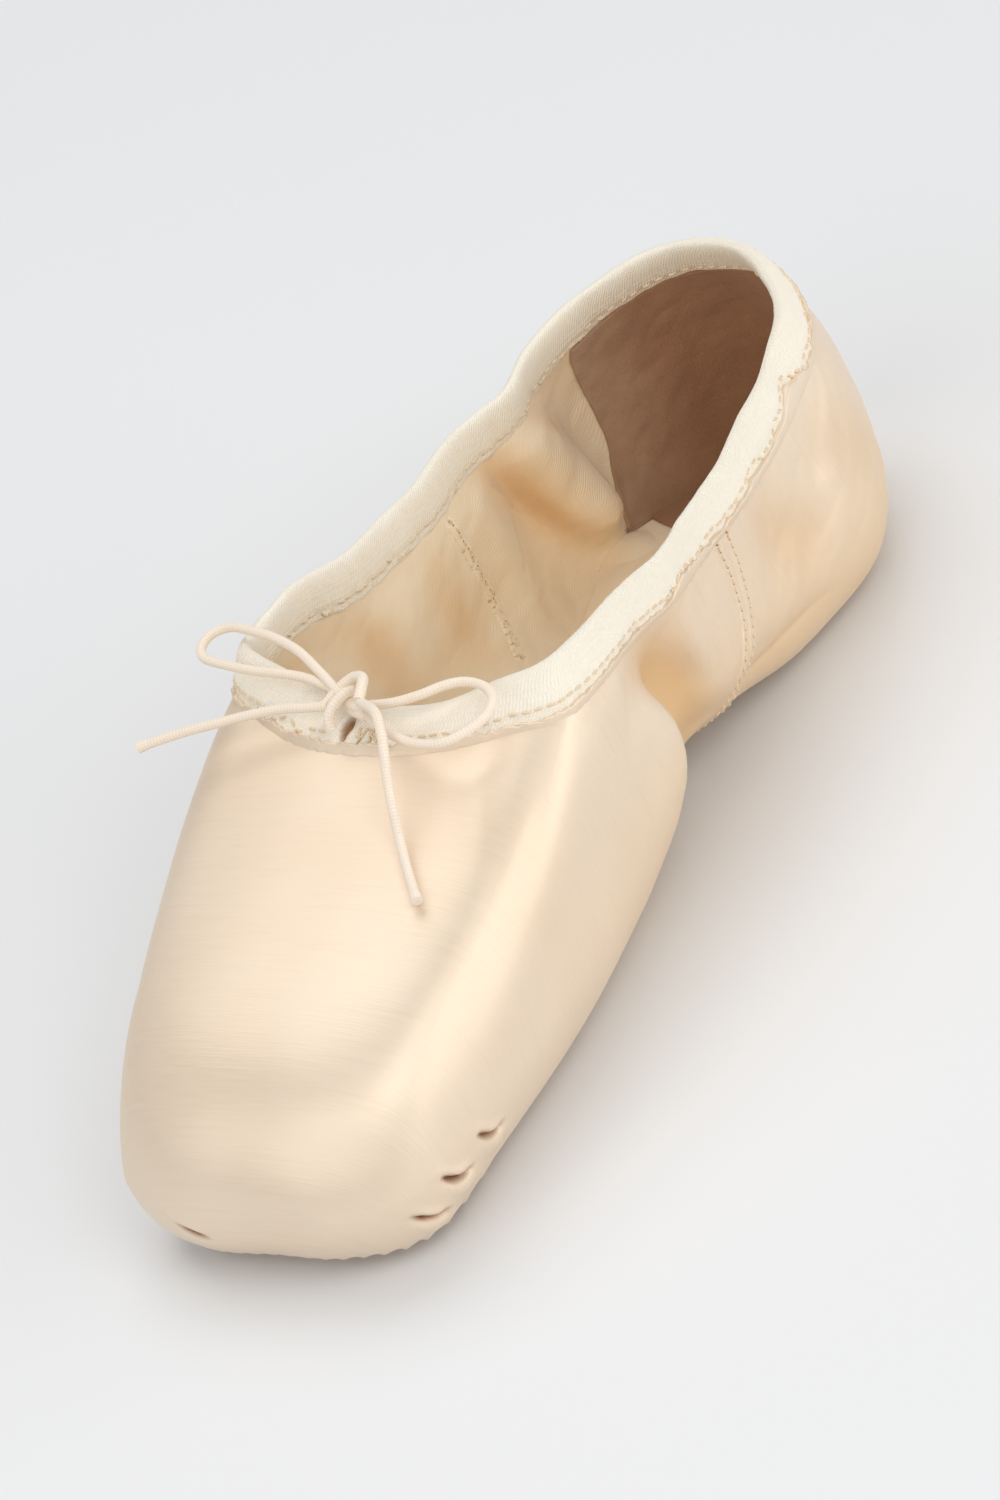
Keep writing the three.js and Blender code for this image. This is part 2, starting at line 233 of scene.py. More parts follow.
def curve_between(a, b, c, d, t):
    """The place t of the way from b to c, on the smooth curve through all four."""
    bend = 2 * a - 5 * b + 4 * c - d + t * (3 * (b - c) + d - a)
    return b + 0.5 * t * (c - a + t * bend)


def smooth_line(points, count):
    """Even points on a smooth curve through the given ones."""
    known = np.array(points, float)
    ends = np.vstack([2 * known[0] - known[1], known, 2 * known[-1] - known[-2]])
    fine = []
    for a, b, c, d in zip(ends, ends[1:], ends[2:], ends[3:]):
        fine += [curve_between(a, b, c, d, t) for t in np.linspace(0, 1, 24, endpoint=False)]
    fine = np.array(fine + [known[-1]])
    run = np.r_[0, np.cumsum(np.linalg.norm(np.diff(fine[:, :3], axis=0), axis=1))]
    even = np.linspace(0, run[-1], count)
    return np.stack([np.interp(even, run, column) for column in fine.T], axis=1)


def length_of(line):
    return float(np.linalg.norm(np.diff(line, axis=0), axis=1).sum())


def grid(name, columns, rows):
    """A sheet of columns by rows cells, to be laid over a shape."""
    bpy.ops.mesh.primitive_grid_add(x_subdivisions=columns, y_subdivisions=rows, size=1)
    sheet = bpy.context.object
    sheet.name = name
    return sheet


def lay(sheet, points, flat):
    """Places the sheet's points, row by row, and unrolls its UV map to the flat metres given."""
    sheet.data.vertices.foreach_set("co", np.asarray(points, float).reshape(-1))
    corners = np.zeros(len(sheet.data.loops), int)
    sheet.data.loops.foreach_get("vertex_index", corners)
    sheet.data.uv_layers["UVMap"].data.foreach_set("uv", np.asarray(flat, float)[corners].reshape(-1))
    sheet.data.update()


def take(sheet):
    """Selects one object alone, and makes it the active one."""
    bpy.ops.object.select_all(action="DESELECT")
    sheet.select_set(True)
    bpy.context.view_layer.objects.active = sheet


def edit(sheet, *steps):
    """Runs edit-mode operators on the whole of one mesh."""
    take(sheet)
    bpy.ops.object.mode_set(mode="EDIT")
    bpy.ops.mesh.select_all(action="SELECT")
    for step in steps:
        step()
    bpy.ops.object.mode_set(mode="OBJECT")


def sew_up():
    bpy.ops.mesh.remove_doubles(threshold=1e-6)


def cap_ends():
    bpy.ops.mesh.select_all(action="DESELECT")
    bpy.ops.mesh.select_non_manifold()
    bpy.ops.mesh.edge_face_add()


def face_outwards():
    bpy.ops.mesh.select_all(action="SELECT")
    bpy.ops.mesh.normals_make_consistent(inside=False)


def smooth(sheet, angle=None):
    """Shades a mesh smooth, all over or where its faces meet at less than the angle."""
    take(sheet)
    if angle is None:
        bpy.ops.object.shade_smooth()
    else:
        bpy.ops.object.shade_smooth_by_angle(angle=math.radians(angle))


def tube(name, line, radii, sides=16):
    """A round cord along a line, its own UV map running along and round it."""
    sheet = grid(name, sides, len(line) - 1)
    along = np.gradient(line, axis=0)
    along /= np.linalg.norm(along, axis=1)[:, None]
    side = np.cross(along[0], (0.3, 0.2, 1.0))
    points, flat, run = [], [], 0.0
    for k, (centre, ahead) in enumerate(zip(line, along)):
        side = side - ahead * (side @ ahead)
        side /= np.linalg.norm(side)
        over = np.cross(ahead, side)
        run += np.linalg.norm(centre - line[max(k - 1, 0)])
        for turn in np.linspace(0, 2 * math.pi, sides + 1):
            points.append(centre + radii[k] * (math.cos(turn) * side + math.sin(turn) * over))
            flat.append((turn * cord_width / 2, run))
    lay(sheet, points, flat)
    edit(sheet, sew_up, cap_ends, face_outwards)
    return sheet


def cord_cover():
    cover = Finish("cord_cover")
    turn, run, _ = cover.parts(cover.laid())
    turn, run = turn * 7070, run * 5200
    strands = (turn + run).sine() * (turn - run).sine()
    fuzz = cover.noise(cover.place(), 1800.0, 3.0)
    shade = cover.blend(strands.between(-1, 1) * 0.7 + fuzz * 0.3,
                        (0.82, 0.66, 0.50, 1), (0.95, 0.86, 0.74, 1))
    rough = cover.relief(strands * 0.5 + fuzz * 0.5, 0.00006, 0.7)
    return cover.wear(Base_Color=shade, Roughness=0.78, Normal=rough, Sheen_Weight=0.15)


cotton_cover = cord_cover()
rope_points, frayed_points, frayed_swell = 120, 8, 1.28
for rope_name, route in ropes.items():
    line = smooth_line(route, rope_points)
    radii = np.full(rope_points, cord_width / 2)
    if "end" in rope_name:
        radii[-frayed_points:] *= np.linspace(1, frayed_swell, frayed_points)
    rope = tube(rope_name + "_cord", line, radii)
    rope.data.materials.append(cotton_cover)
    smooth(rope, 50)
    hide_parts(rope_name)
    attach(rope, "root")

# ---- Knot -----------------------------------------------------------------------------------------
# The same cord, pulled tight: one turn passes over the others and down into the hanging end, and one
# short strand comes up between them out of the binding.
knot_turns = [
    [(0.0352, -0.0090, 0.0598), (0.0330, -0.0080, 0.0606), (0.0312, -0.0062, 0.0618),
     (0.0305, -0.0040, 0.0628), (0.0316, -0.0018, 0.0634), (0.0340, -0.0008, 0.0634),
     (0.0366, -0.0003, 0.0627)],
    [(0.0394, -0.0058, 0.0586), (0.0385, -0.0062, 0.0602), (0.0368, -0.0056, 0.0616),
     (0.0346, -0.0043, 0.0624), (0.0330, -0.0036, 0.0618)],
    [(0.0328, -0.0067, 0.0611), (0.0345, -0.0040, 0.0604), (0.0356, -0.0018, 0.0602),
     (0.0358, 0.0004, 0.0608)],
    [(0.0310, -0.0094, 0.0606), (0.0330, -0.0068, 0.0596), (0.0350, -0.0036, 0.0592),
     (0.0373, 0.0008, 0.0598)],
]
knot_points, knot_swell = 60, 1.14
knot_radii = np.full(knot_points, cord_width / 2 * knot_swell)
turns = [tube("knot_turn_%d" % k, smooth_line(route, knot_points), knot_radii)
         for k, route in enumerate(knot_turns)]
take(turns[0])
for turn in turns:
    turn.select_set(True)
bpy.ops.object.join()
knot = bpy.context.object
knot.name = "bow_knot_turns"
knot.data.materials.append(cotton_cover)
smooth(knot, 50)
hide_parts("bow_knot")
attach(knot, "root")

# ---- Satin upper ----------------------------------------------------------------------------------
# Glossy cotton-backed satin lasted over the paste box and drawn under the sole in pleats. Its form is
# the last's: one row for each meridian, from the toe round the left side to the heel.

# outX outY: the outline at its widest, wide: the height of that line, tuck: how far the bottom edge lies
# inside it, spineX: where the meridian meets the middle, topX topY topZ: the edge of the satin, edge: how
# far in the shoulder turns, rise: the vamp's climb, square: boxiness, wall: thickness, stand: binding.
names = "outX outY wide tuck spineX topX topY topZ edge rise square wall stand".split()
last = np.array([
    (0.1155, 0.0000, 0.0170, 0.0070, 0.092, 0.0395, 0.0000, 0.0545, 0.013, 0.0205, 2.3, 0.0030, 0.0),
    (0.1145, 0.0160, 0.0180, 0.0070, 0.090, 0.0380, 0.0125, 0.0545, 0.014, 0.0210, 2.25, 0.0030, 0.1),
    (0.1055, 0.0290, 0.0180, 0.0070, 0.084, 0.0325, 0.0235, 0.0540, 0.018, 0.0215, 2.15, 0.0030, 0.5),
    (0.0825, 0.0335, 0.0205, 0.0105, 0.068, 0.0245, 0.0316, 0.0529, 0.026, 0.0180, 2.0, 0.0030, 0.9),
    (0.0505, 0.0360, 0.0230, 0.0130, 0.042, 0.0055, 0.0328, 0.0508, 0.030, 0.0110, 2.0, 0.0026, 0.8),
    (0.0135, 0.0335, 0.0240, 0.0145, 0.012, -0.0110, 0.0317, 0.0465, 0.028, 0.0030, 2.0, 0.0020, 0.4),
    (-0.0220, 0.0295, 0.0240, 0.0140, -0.022, -0.0280, 0.0300, 0.0445, 0.024, 0.0, 2.0, 0.0016, 0.1),
    (-0.0510, 0.0314, 0.0220, 0.0100, -0.054, -0.0537, 0.0300, 0.0440, 0.026, 0.0, 2.0, 0.0016, 0.0),
    (-0.0805, 0.0330, 0.0205, 0.0085, -0.078, -0.0850, 0.0258, 0.0460, 0.028, 0.0, 2.0, 0.0016, 0.0),
    (-0.1060, 0.0178, 0.0200, 0.0100, -0.088, -0.1016, 0.0141, 0.0492, 0.028, 0.0, 2.0, 0.0016, 0.0),
    (-0.1150, 0.0000, 0.0210, 0.0100, -0.092, -0.1062, 0.0000, 0.0505, 0.028, 0.0, 2.0, 0.0016, 0.0),
])
sole_level, bottom_wall, quarter_wall = 0.0021, 0.0016, 0.0016
mirrored = np.array([-1.0 if name in ("outY", "topY") else 1.0 for name in names])


def meridian(p):
    """The table at place p, smooth between its rows: 0 is the toe, 10 the heel, 20 the toe again."""
    side = 1.0 if p <= 10 else -1.0
    p = p if p <= 10 else 20 - p
    i = min(int(p), 9)
    t = p - i
    padded = np.vstack([last[1] * mirrored, last, last[9] * mirrored])
    row = dict(zip(names, curve_between(*padded[i : i + 4], t)))
    row["outY"] *= side
    row["topY"] *= side
    return row


def ramp(values, low, high):
    """0 up to low, 1 from high on, straight between."""
    return np.clip((values - low) / (high - low), 0, 1)


arch_back, arch_front, arch_high = -0.058, 0.024, 0.0070
spring_from, spring_long, spring_high = 0.086, 0.0295, 0.003


def bottom_height(x):
    """Underside of the upper on the middle line: flat at ball and heel, arched between, sprung in front."""
    arch = arch_high / 2 * (1 - np.cos(2 * math.pi * ramp(x, arch_back, arch_front)))
    spring = spring_high * (np.clip(x - spring_from, 0, None) / spring_long) ** 2
    return sole_level + arch + spring


def shoulder(t, square):
    return (1 - (1 - np.clip(t, 0, 1)) ** square) ** (1 / square)


def feather(row, margin=0.0):
    """Where the side turns under."""
    share = 1 - (row["tuck"] + margin) / math.hypot(row["outX"] - row["spineX"], row["outY"])
    return row["spineX"] + share * (row["outX"] - row["spineX"]), share * row["outY"]


bottom_rows, side_rows = 10, 71


def profile(row):
    """Points up one meridian in even steps, and how thick the wall is at each."""
    low_points, high_points = 40, 159
    featherX, featherY = feather(row)
    part = np.linspace(0, 1, bottom_rows + 1)
    x = row["spineX"] + part * (featherX - row["spineX"])
    under = np.stack([x, part * featherY, bottom_height(x)], axis=1)
    turn = np.linspace(0, math.pi / 2, low_points)
    x = featherX + np.sin(turn) * (row["outX"] - featherX)
    y = featherY + np.sin(turn) * (row["outY"] - featherY)
    z = row["wide"] + np.cos(turn) * (bottom_height(x) - row["wide"])
    low = np.stack([x, y, z], axis=1)
    inset = math.hypot(row["outX"] - row["topX"], row["outY"] - row["topY"])
    top = row["wide"] + (row["topZ"] - row["wide"]) / shoulder(inset / row["edge"], row["square"])
    t = np.linspace(0, 1, high_points + 1)[1:] ** 2
    height = top - row["rise"] * (1 - t) - row["wide"]
    z = row["wide"] + height * shoulder(t * inset / row["edge"], row["square"])
    x = row["outX"] + t * (row["topX"] - row["outX"])
    y = row["outY"] + t * (row["topY"] - row["outY"])
    line = np.vstack([low, np.stack([x, y, z], axis=1)])
    climbed = np.r_[np.zeros(low_points), np.sqrt(t)]
    turned = np.r_[turn / (math.pi / 2), np.ones(high_points)]
    wall = bottom_wall + turned * (row["wall"] + climbed**4 * (quarter_wall - row["wall"]) - bottom_wall)
    run = np.r_[0, np.cumsum(np.linalg.norm(np.diff(line, axis=0), axis=1))]
    even = run[-1] * np.linspace(0, 1, side_rows + 1)[1:] ** 1.15
    above = np.stack([np.interp(even, run, column) for column in line.T], axis=1)
    walls = np.r_[np.full(bottom_rows + 1, bottom_wall), np.interp(even, run, wall)]
    return np.vstack([under, above]), walls


def stations(count):
    """Places round the table in steps of even length, closer together round the toe."""
    toe_from, toe_closer = 0.078, 2.2
    fine = np.linspace(0, 20, 2001)
    outline = np.array([(m["outX"], m["outY"]) for m in map(meridian, fine)])
    steps = np.linalg.norm(np.diff(outline, axis=0), axis=1)
    steps *= np.where(outline[:-1, 0] > toe_from, toe_closer, 1.0)
    run = np.r_[0, np.cumsum(steps)]
    return np.interp(np.linspace(0, run[-1], count + 1), run, fine)


around = 500
places = stations(around)
meridians = [meridian(p) for p in places]
profiles = [profile(row) for row in meridians]
skin = np.array([points for points, _ in profiles])
walls = np.array([wall for _, wall in profiles])
skin[-1] = skin[0]


def normals_of(surface):
    """Outward normals of a skin whose columns run round the shoe."""
    ring = surface[:-1]
    across = np.roll(ring, -1, axis=0) - np.roll(ring, 1, axis=0)
    along = np.gradient(ring, axis=1)
    out = np.cross(across, along)
    out[:, 0] = (0, 0, -1)
    out /= np.maximum(np.linalg.norm(out, axis=2), 1e-12)[:, :, None]
    return np.concatenate([out, out[:1]])


def ease(points):
    """The paste under the satin rounds off the brim and shoulders of the box."""
    rounds, rows_below_edge = 220, np.arange(points.shape[1])[::-1]
    share = ramp(points[:, :, 0], 0.015, 0.040) * ramp(points[:, :, 2], 0.017, 0.027)
    share *= ramp(rows_below_edge, 0, 12)[None, :]
    ring = points[:-1].copy()
    for _ in range(rounds):
        beside = (np.roll(ring, 1, axis=0) + np.roll(ring, -1, axis=0)) / 2
        above = np.concatenate([ring[:, 1:], ring[:, -1:]], axis=1)
        below = np.concatenate([ring[:, :1], ring[:, :-1]], axis=1)
        ring += share[:-1, :, None] * 0.5 * ((beside + (above + below) / 2) / 2 - ring)
    return np.concatenate([ring, ring[:1]])


skin = ease(skin)
outward = normals_of(skin)

# Folds, in millimetres: how wide, how sharp (2 is soft, 1 a crease), and the line's points with the
# depth at each. A depth above nought is a ridge and one below it a trough.
mm = 0.001
shared_folds = [
    # the arch pinches in on the left side, from the collar down to the sole
    (8, 2, [(12, 34, 47, 0), (4, 33, 44, -1.8), (-4, 31.5, 38, -3.8), (-9.5, 30.5, 30, -5),
            (-11.5, 30, 21, -5.2), (-13.5, 26, 10, -3.8), (-15, 18, 8, 0)]),
    # the vamp's flank swells over the pinch
    (6, 2, [(14, 34, 40, 0), (6.5, 33, 34.5, 1.8), (5, 32.5, 28, 2), (8.5, 32, 18, 0.6)]),
    # the right side of the throat is slack and stands out
    (15, 2, [(-12, -32, 42, 1), (6, -34, 42, 4.2), (24, -34, 41, 5.8), (42, -35, 36, 5), (60, -35, 31, 3.2),
             (80, -34, 28, 1)]),
    # the right wall buckles inwards in front of the heel
    (6.5, 2, [(-60, -31, 46, -1), (-66, -31, 40, -3.6), (-74.5, -33, 28, -5.2), (-80, -31, 14, -3.4),
              (-83, -26, 5, 0)]),
    # the left side is slack over the arch: two low swells and the hollows beside them
    (8, 2, [(-20, 30, 43, 0), (-22, 29.5, 34, 1.5), (-24, 29, 24, 1.4), (-24, 27, 14, 0)]),
    (7, 2, [(-43, 30, 42, 0), (-49, 31, 34, -1.6), (-56, 32, 25, -1.7), (-62, 31.5, 18, 0)]),
    (8, 2, [(-66, 31, 43, 0), (-74, 32, 35, -1.2), (-84, 31, 26, -1.2), (-92, 27, 18, 0)]),
    # the flank folds over sharply at the front of the pinch
    (3.6, 2, [(4, 33, 42, 0), (-2.6, 31.8, 36, -1.4), (-4.2, 31.5, 30.3, -1.9), (-4, 31, 24, -1.2),
              (-3, 30, 16, 0)]),
    (3.6, 2, [(7, 33, 41, 0), (2.2, 32, 35, 0.8), (1.2, 31.8, 30.3, 1.2), (1.8, 31.6, 24, 0.8),
              (4, 30.5, 16, 0)]),
    # the satin is drawn in over the heel's feather edge
    (2.4, 1, [(-26, 27, 16.5, 0), (-32, 27.4, 14.6, -1.1), (-38.8, 28.2, 13.6, -1.4), (-50, 30.1, 13, -1.1),
              (-64, 31, 11, 0)]),
    (2.4, 1, [(-26, -27, 16.5, 0), (-38.8, -28.2, 14, -0.9), (-52, -30.1, 13, -0.7), (-64, -31, 11, 0)]),
]
satin_folds = [
    # a long soft ridge down the vamp's left flank, with a shallow trough inside it
    (6.5, 2, [(26, 34.5, 47, 0), (44, 35.2, 40.5, 0.6), (66, 34.8, 32, 0.8), (84, 33, 24, 0.6),
              (95, 32, 21, 0)]),
    (6, 2, [(34, 34.2, 47, 0), (51, 34.4, 44, -0.5), (70, 33.7, 38, -0.7), (86, 32.2, 34, -0.5),
            (98, 31, 30, 0)]),
    # drag lines run from the throat's corners into the vamp
    (3.5, 2, [(41, 10, 53.5, 0), (48, 14, 52, -0.4), (60, 18, 49, -0.3), (72, 21, 45, 0)]),
    (3, 2, [(38, 19, 53.5, 0), (46, 23, 51, 0.5), (56, 27, 47, 0.4), (66, 30, 42, 0)]),
    (3, 2, [(26, 28, 52, 0), (36, 30.5, 49, -0.6), (48, 32.5, 44, -0.4), (60, 34, 38, 0)]),
    # small tucks climb out of the pinch towards the side seam
    (2.6, 2, [(-10, 30.6, 40, 0), (-14, 30.2, 35, 0.7), (-17, 29.8, 29, 0.6), (-18, 29.5, 23, 0)]),
    # creases run down from the tape to the side seam's foot
    (1.7, 1.6, [(-15.5, 31.1, 45.7, 0), (-16, 30.2, 38, 0.8), (-16.6, 30.1, 32, 0.9),
                (-17.8, 29.8, 23.5, 0)]),
    (2.2, 1.6, [(-21, 30.3, 42, 0), (-22.2, 29.8, 34, -0.9), (-21.5, 29.4, 26, -0.8), (-19.5, 29, 20, 0)]),
    (2.6, 1.6, [(-60, 30.6, 42, 0), (-64, 31.2, 36, -0.8), (-65.5, 32.2, 29, -0.6), (-64, 32, 22, 0)]),
    # the brim dips a little where the platform begins
    (6, 2, [(107, -6, 36, 0), (110, 5, 34.5, -0.4), (112, 14, 31, -0.5), (110, 24, 22, 0)]),
]


def press(points, outward, folds, depth_unit=mm):
    """Moves points along their normals by every fold near them."""
    flat = points.reshape(-1, 3)
    moved = np.zeros(len(flat))
    for wide, sharp, path in folds:
        line = smooth_line(np.array(path) * (mm, mm, mm, depth_unit), 24)
        near = np.full(len(flat), 1.0)
        deep = np.zeros(len(flat))
        for a, b in zip(line, line[1:]):
            ahead = b[:3] - a[:3]
            t = np.clip((flat - a[:3]) @ ahead / (ahead @ ahead), 0, 1)
            away = np.linalg.norm(flat - a[:3] - t[:, None] * ahead, axis=1)
            closer = away < near
            near[closer] = away[closer]
            deep[closer] = (a[3] + t * (b[3] - a[3]))[closer]
        moved += deep * np.exp(-((near / (wide * mm)) ** sharp))
    return points + outward * moved.reshape(points.shape[:2])[:, :, None]


plain = skin
skin = press(skin, outward, shared_folds)
# Painted shade: how far the folds press the satin in is kept as a share, stronger on the left side, that
# makes its colour warmer and darker in their troughs.
valley_shade = ramp(((plain - skin) * outward).sum(axis=2), 0, 0.0040)
valley_shade *= np.where(skin[:, :, 1] > 0, 1.0, 0.6)
outward = normals_of(skin)

# Pleats: under the toe the satin is gathered into small laps that fan out from the sole's edge.
pleat_count, pleat_reach = 25, 6.4
toe_part = np.where(places > 10, places - 20, places)
turn = (toe_part / pleat_reach + 0.5) * pleat_count * 2 * math.pi
lap = 0.5 + 0.5 * np.sin(turn + 0.45 * np.sin(turn))
in_toe = 1 - ramp(np.abs(toe_part), 2.5, 3.1)
satin = press(skin, outward, satin_folds)


def crumple(points, scale):
    """The height of uneven hard creases at each point, from nought to one."""
    heights = [noise.turbulence(Vector((x * 1.3 + z * 0.7, y * 0.8, z)) * scale, 3, True)
               for x, y, z in points.reshape(-1, 3)]
    heights = np.array(heights).reshape(points.shape[:2])
    return (heights - heights.min()) / np.ptp(heights)


# The quarters aren't pasted hard like the vamp, so their satin billows a little.
billow, billow_scale, lap_high = 0.0008, 62.0, 0.0010
slack = (1 - ramp(skin[:, :, 0], -0.035, 0.015)) * ramp(skin[:, :, 2], 0.008, 0.018)
satin = satin + outward * (billow * slack * (crumple(skin, billow_scale) - 0.5))[:, :, None]
under = (1 - ramp(satin[:, :, 2], 0.0032, 0.0062)) * ramp(-outward[:, :, 2], 0.60, 0.85)
from_sole = ramp(np.arange(satin.shape[1]), 3, 7)[None, :]
laps = (lap - 0.55)[:, None] * in_toe[:, None] * under * from_sole
satin = satin + outward * (lap_high * laps)[:, :, None]
# Painted shade: the troughs between the laps darken the satin, most where they are deepest.
pocket_shade = np.clip(-laps * 1.6, 0, 1) ** 2

# Pockets: the largest laps open above the edge. Each is a curved slit, its ends turned up, with a raised
# lip over it: its ends and lowest point, and how deep it is.
slits = [
    ((0.0898, 0.0324, 0.0150), (0.0868, 0.0325, 0.0124), (0.0826, 0.0316, 0.0116), 0.0018),
    ((0.1004, 0.0306, 0.0148), (0.0972, 0.0312, 0.0120), (0.0928, 0.0306, 0.0108), 0.0020),
    ((0.1070, 0.0268, 0.0120), (0.1040, 0.0286, 0.0090), (0.0996, 0.0284, 0.0076), 0.0018),
    ((0.1150, -0.0150, 0.0138), (0.1150, -0.0122, 0.0124), (0.1148, -0.0096, 0.0112), 0.0007),
    ((0.1128, -0.0215, 0.0116), (0.1140, -0.0192, 0.0104), (0.1146, -0.0168, 0.0096), 0.0007),
    ((0.0965, -0.0312, 0.0128), (0.0935, -0.0312, 0.0108), (0.0900, -0.0306, 0.0102), 0.0013),
    ((0.0865, -0.0322, 0.0128), (0.0835, -0.0320, 0.0108), (0.0800, -0.0312, 0.0102), 0.0013),
    ((0.1060, -0.0274, 0.0112), (0.1028, -0.0288, 0.0088), (0.0992, -0.0286, 0.0080), 0.0013),
]

# The platform is flattened by the last.
platform, soft = 0.1140, 0.0010
over = np.clip(satin[:, :, 0] - platform, 0, None)
satin[:, :, 0] -= over - soft * np.tanh(over / soft)

# The weft runs across the vamp and down the sides: one number along the shoe counts its threads.
steps = np.diff(satin, axis=1, prepend=satin[:, :1])
facing = np.abs(normals_of(satin)[:, :, 0])
rise = np.cumsum((np.abs(steps[:, :, 2]) * facing)[:, ::-1], axis=1)[:, ::-1]
thread = satin[:, :, 0] + rise
climb = np.cumsum(np.linalg.norm(steps, axis=2), axis=1)

upper = grid("upper_satin", around, satin.shape[1] - 1)
lay(upper, satin.transpose(1, 0, 2), np.stack([thread.T.ravel(), climb.T.ravel()], axis=1))


def keep(sheet, name, values):
    """Keeps one number for each point of a sheet's mesh."""
    mark = sheet.data.attributes.new(name, "FLOAT", "POINT")
    mark.data.foreach_set("value", np.asarray(values, float).reshape(-1))


keep(upper, "pocket_shade", pocket_shade.T)
keep(upper, "valley_shade", valley_shade.T)

# The satin and its canvas take the wall's thickness, less the lining's, as a share of that at the box.
box_wall, lining_room, least_share = 0.0024, 0.0006, 0.1
wall_group = upper.vertex_groups.new(name="wall")
drawn_in = np.clip(((skin - satin) * outward).sum(axis=2), 0, None)
for index, share in enumerate(((walls - lining_room - drawn_in) / box_wall).T.ravel()):
    wall_group.add([index], max(float(share), least_share), "REPLACE")


def half_width(x, outline):
    """Half the width of a flat piece at x, from its table of x and half width."""
    return np.interp(x, [row[0] for row in outline[::-1]], [row[1] for row in outline[::-1]])


# The satin stops under the soles, short of their edges: x, half width of each opening.
front_opening = [(0.084, 0.002), (0.082, 0.008), (0.074, 0.013), (0.058, 0.0155), (0.040, 0.0145),
                 (0.026, 0.011), (0.019, 0.006), (0.0175, 0.002)]
back_opening = [(-0.062, 0.002), (-0.0635, 0.007), (-0.069, 0.0115), (-0.079, 0.0135), (-0.088, 0.0115),
                (-0.093, 0.007), (-0.0945, 0.002)]


def on_faces(sheet, wanted, step):
    """Selects the faces of a mesh whose centres are wanted, and no others, and runs one step on them."""
    take(sheet)
    bpy.context.tool_settings.mesh_select_mode = (False, False, True)
    for part in (sheet.data.vertices, sheet.data.edges):
        part.foreach_set("select", [False] * len(part))
    sheet.data.polygons.foreach_set("select", [wanted(face.center) for face in sheet.data.polygons])
    bpy.ops.object.mode_set(mode="EDIT")
    step()
    bpy.ops.object.mode_set(mode="OBJECT")
    bpy.context.tool_settings.mesh_select_mode = (True, False, False)


def over_an_opening(centre):
    x, y, z = centre
    for opening in (front_opening, back_opening):
        if opening[-1][0] < x < opening[0][0] and abs(y) < half_width(x, opening) and z < 0.012:
            return True
    return False


on_faces(upper, over_an_opening, lambda: bpy.ops.mesh.delete(type="FACE"))
edit(upper, sew_up)


def solidify(sheet, thickness, group=None, rim=0):
    """Gives a sheet its real wall, on its inner side."""
    wall = sheet.modifiers.new("wall", "SOLIDIFY")
    wall.thickness, wall.offset, wall.use_even_offset = thickness, -1.0, False
    wall.material_offset_rim = rim
    if group:
        wall.vertex_group, wall.thickness_vertex_group = group, 0.15
    take(sheet)
    bpy.ops.object.modifier_apply(modifier="wall")


def surface_of(sheet):
    """The surface of a mesh as it now is, for laying other pieces on."""
    corners = [vertex.co.copy() for vertex in sheet.data.vertices]
    return BVHTree.FromPolygons(corners, [tuple(face.vertices) for face in sheet.data.polygons])


def open_pockets(sheet):
    """Cuts the mesh finer round each of the pockets, presses the slit, its lip and the swell below it, and
    paints shade into the slit.
    """
    points_each, finer_within, pressed_within = 16, 0.0042, 0.0085
    lines = [smooth_line((left, lowest, far), points_each) for left, lowest, far, _ in slits]
    every = np.vstack(lines)

    def by_a_slit(centre):
        if centre[0] < 0.076 or centre[2] > 0.021:
            return False
        return bool((((every - np.array(centre)) ** 2).sum(axis=1) < finer_within**2).any())

    on_faces(sheet, by_a_slit, lambda: bpy.ops.mesh.subdivide(number_cuts=2, smoothness=0))
    # The slit, its lip and the swell: how far above the line, how wide, and what share of the depth.
    presses = ((0.0, 0.00070, -1.0), (0.0014, 0.0010, 0.35), (-0.0025, 0.0019, 0.45))
    spots = np.array([v.co for v in sheet.data.vertices])
    facing = np.array([v.normal for v in sheet.data.vertices])
    shade = np.zeros(len(spots), np.float32)
    sheet.data.attributes["pocket_shade"].data.foreach_get("value", shade)
    moved = np.zeros(len(spots))
    for line, deep in zip(lines, [slit[-1] for slit in slits]):
        along = np.linspace(0, 1, points_each)
        reach = np.sin(math.pi * (0.08 + 0.84 * along)) ** 0.7 * deep
        near = np.where(np.abs(spots - line[points_each // 2]).max(axis=1) < pressed_within)[0]
        for above, wide, share in presses:
            shifted = line + np.array([0, 0, above])
            away = np.linalg.norm(spots[near][:, None] - shifted[None], axis=2)
            pick = away.argmin(axis=1)
            strength = np.exp(-((away.min(axis=1) / wide) ** 2)) * reach[pick]
            moved[near] += share * strength
            # The slit is painted dark with shade, most where it is pressed deepest.
            if share < 0:
                shade[near] = np.maximum(shade[near], np.clip(strength / deep * 1.5, 0, 1) ** 1.5)
                for index, pressed in zip(near.tolist(), strength):
                    if pressed > 0.0001:
                        left = wall_group.weight(index) - pressed / box_wall
                        wall_group.add([index], max(float(left), least_share), "REPLACE")
    sheet.data.vertices.foreach_set("co", (spots + facing * moved[:, None]).reshape(-1))
    sheet.data.attributes["pocket_shade"].data.foreach_set("value", shade)
    sheet.data.update()


open_pockets(upper)
outer_surface = surface_of(upper)
solidify(upper, box_wall, group="wall")


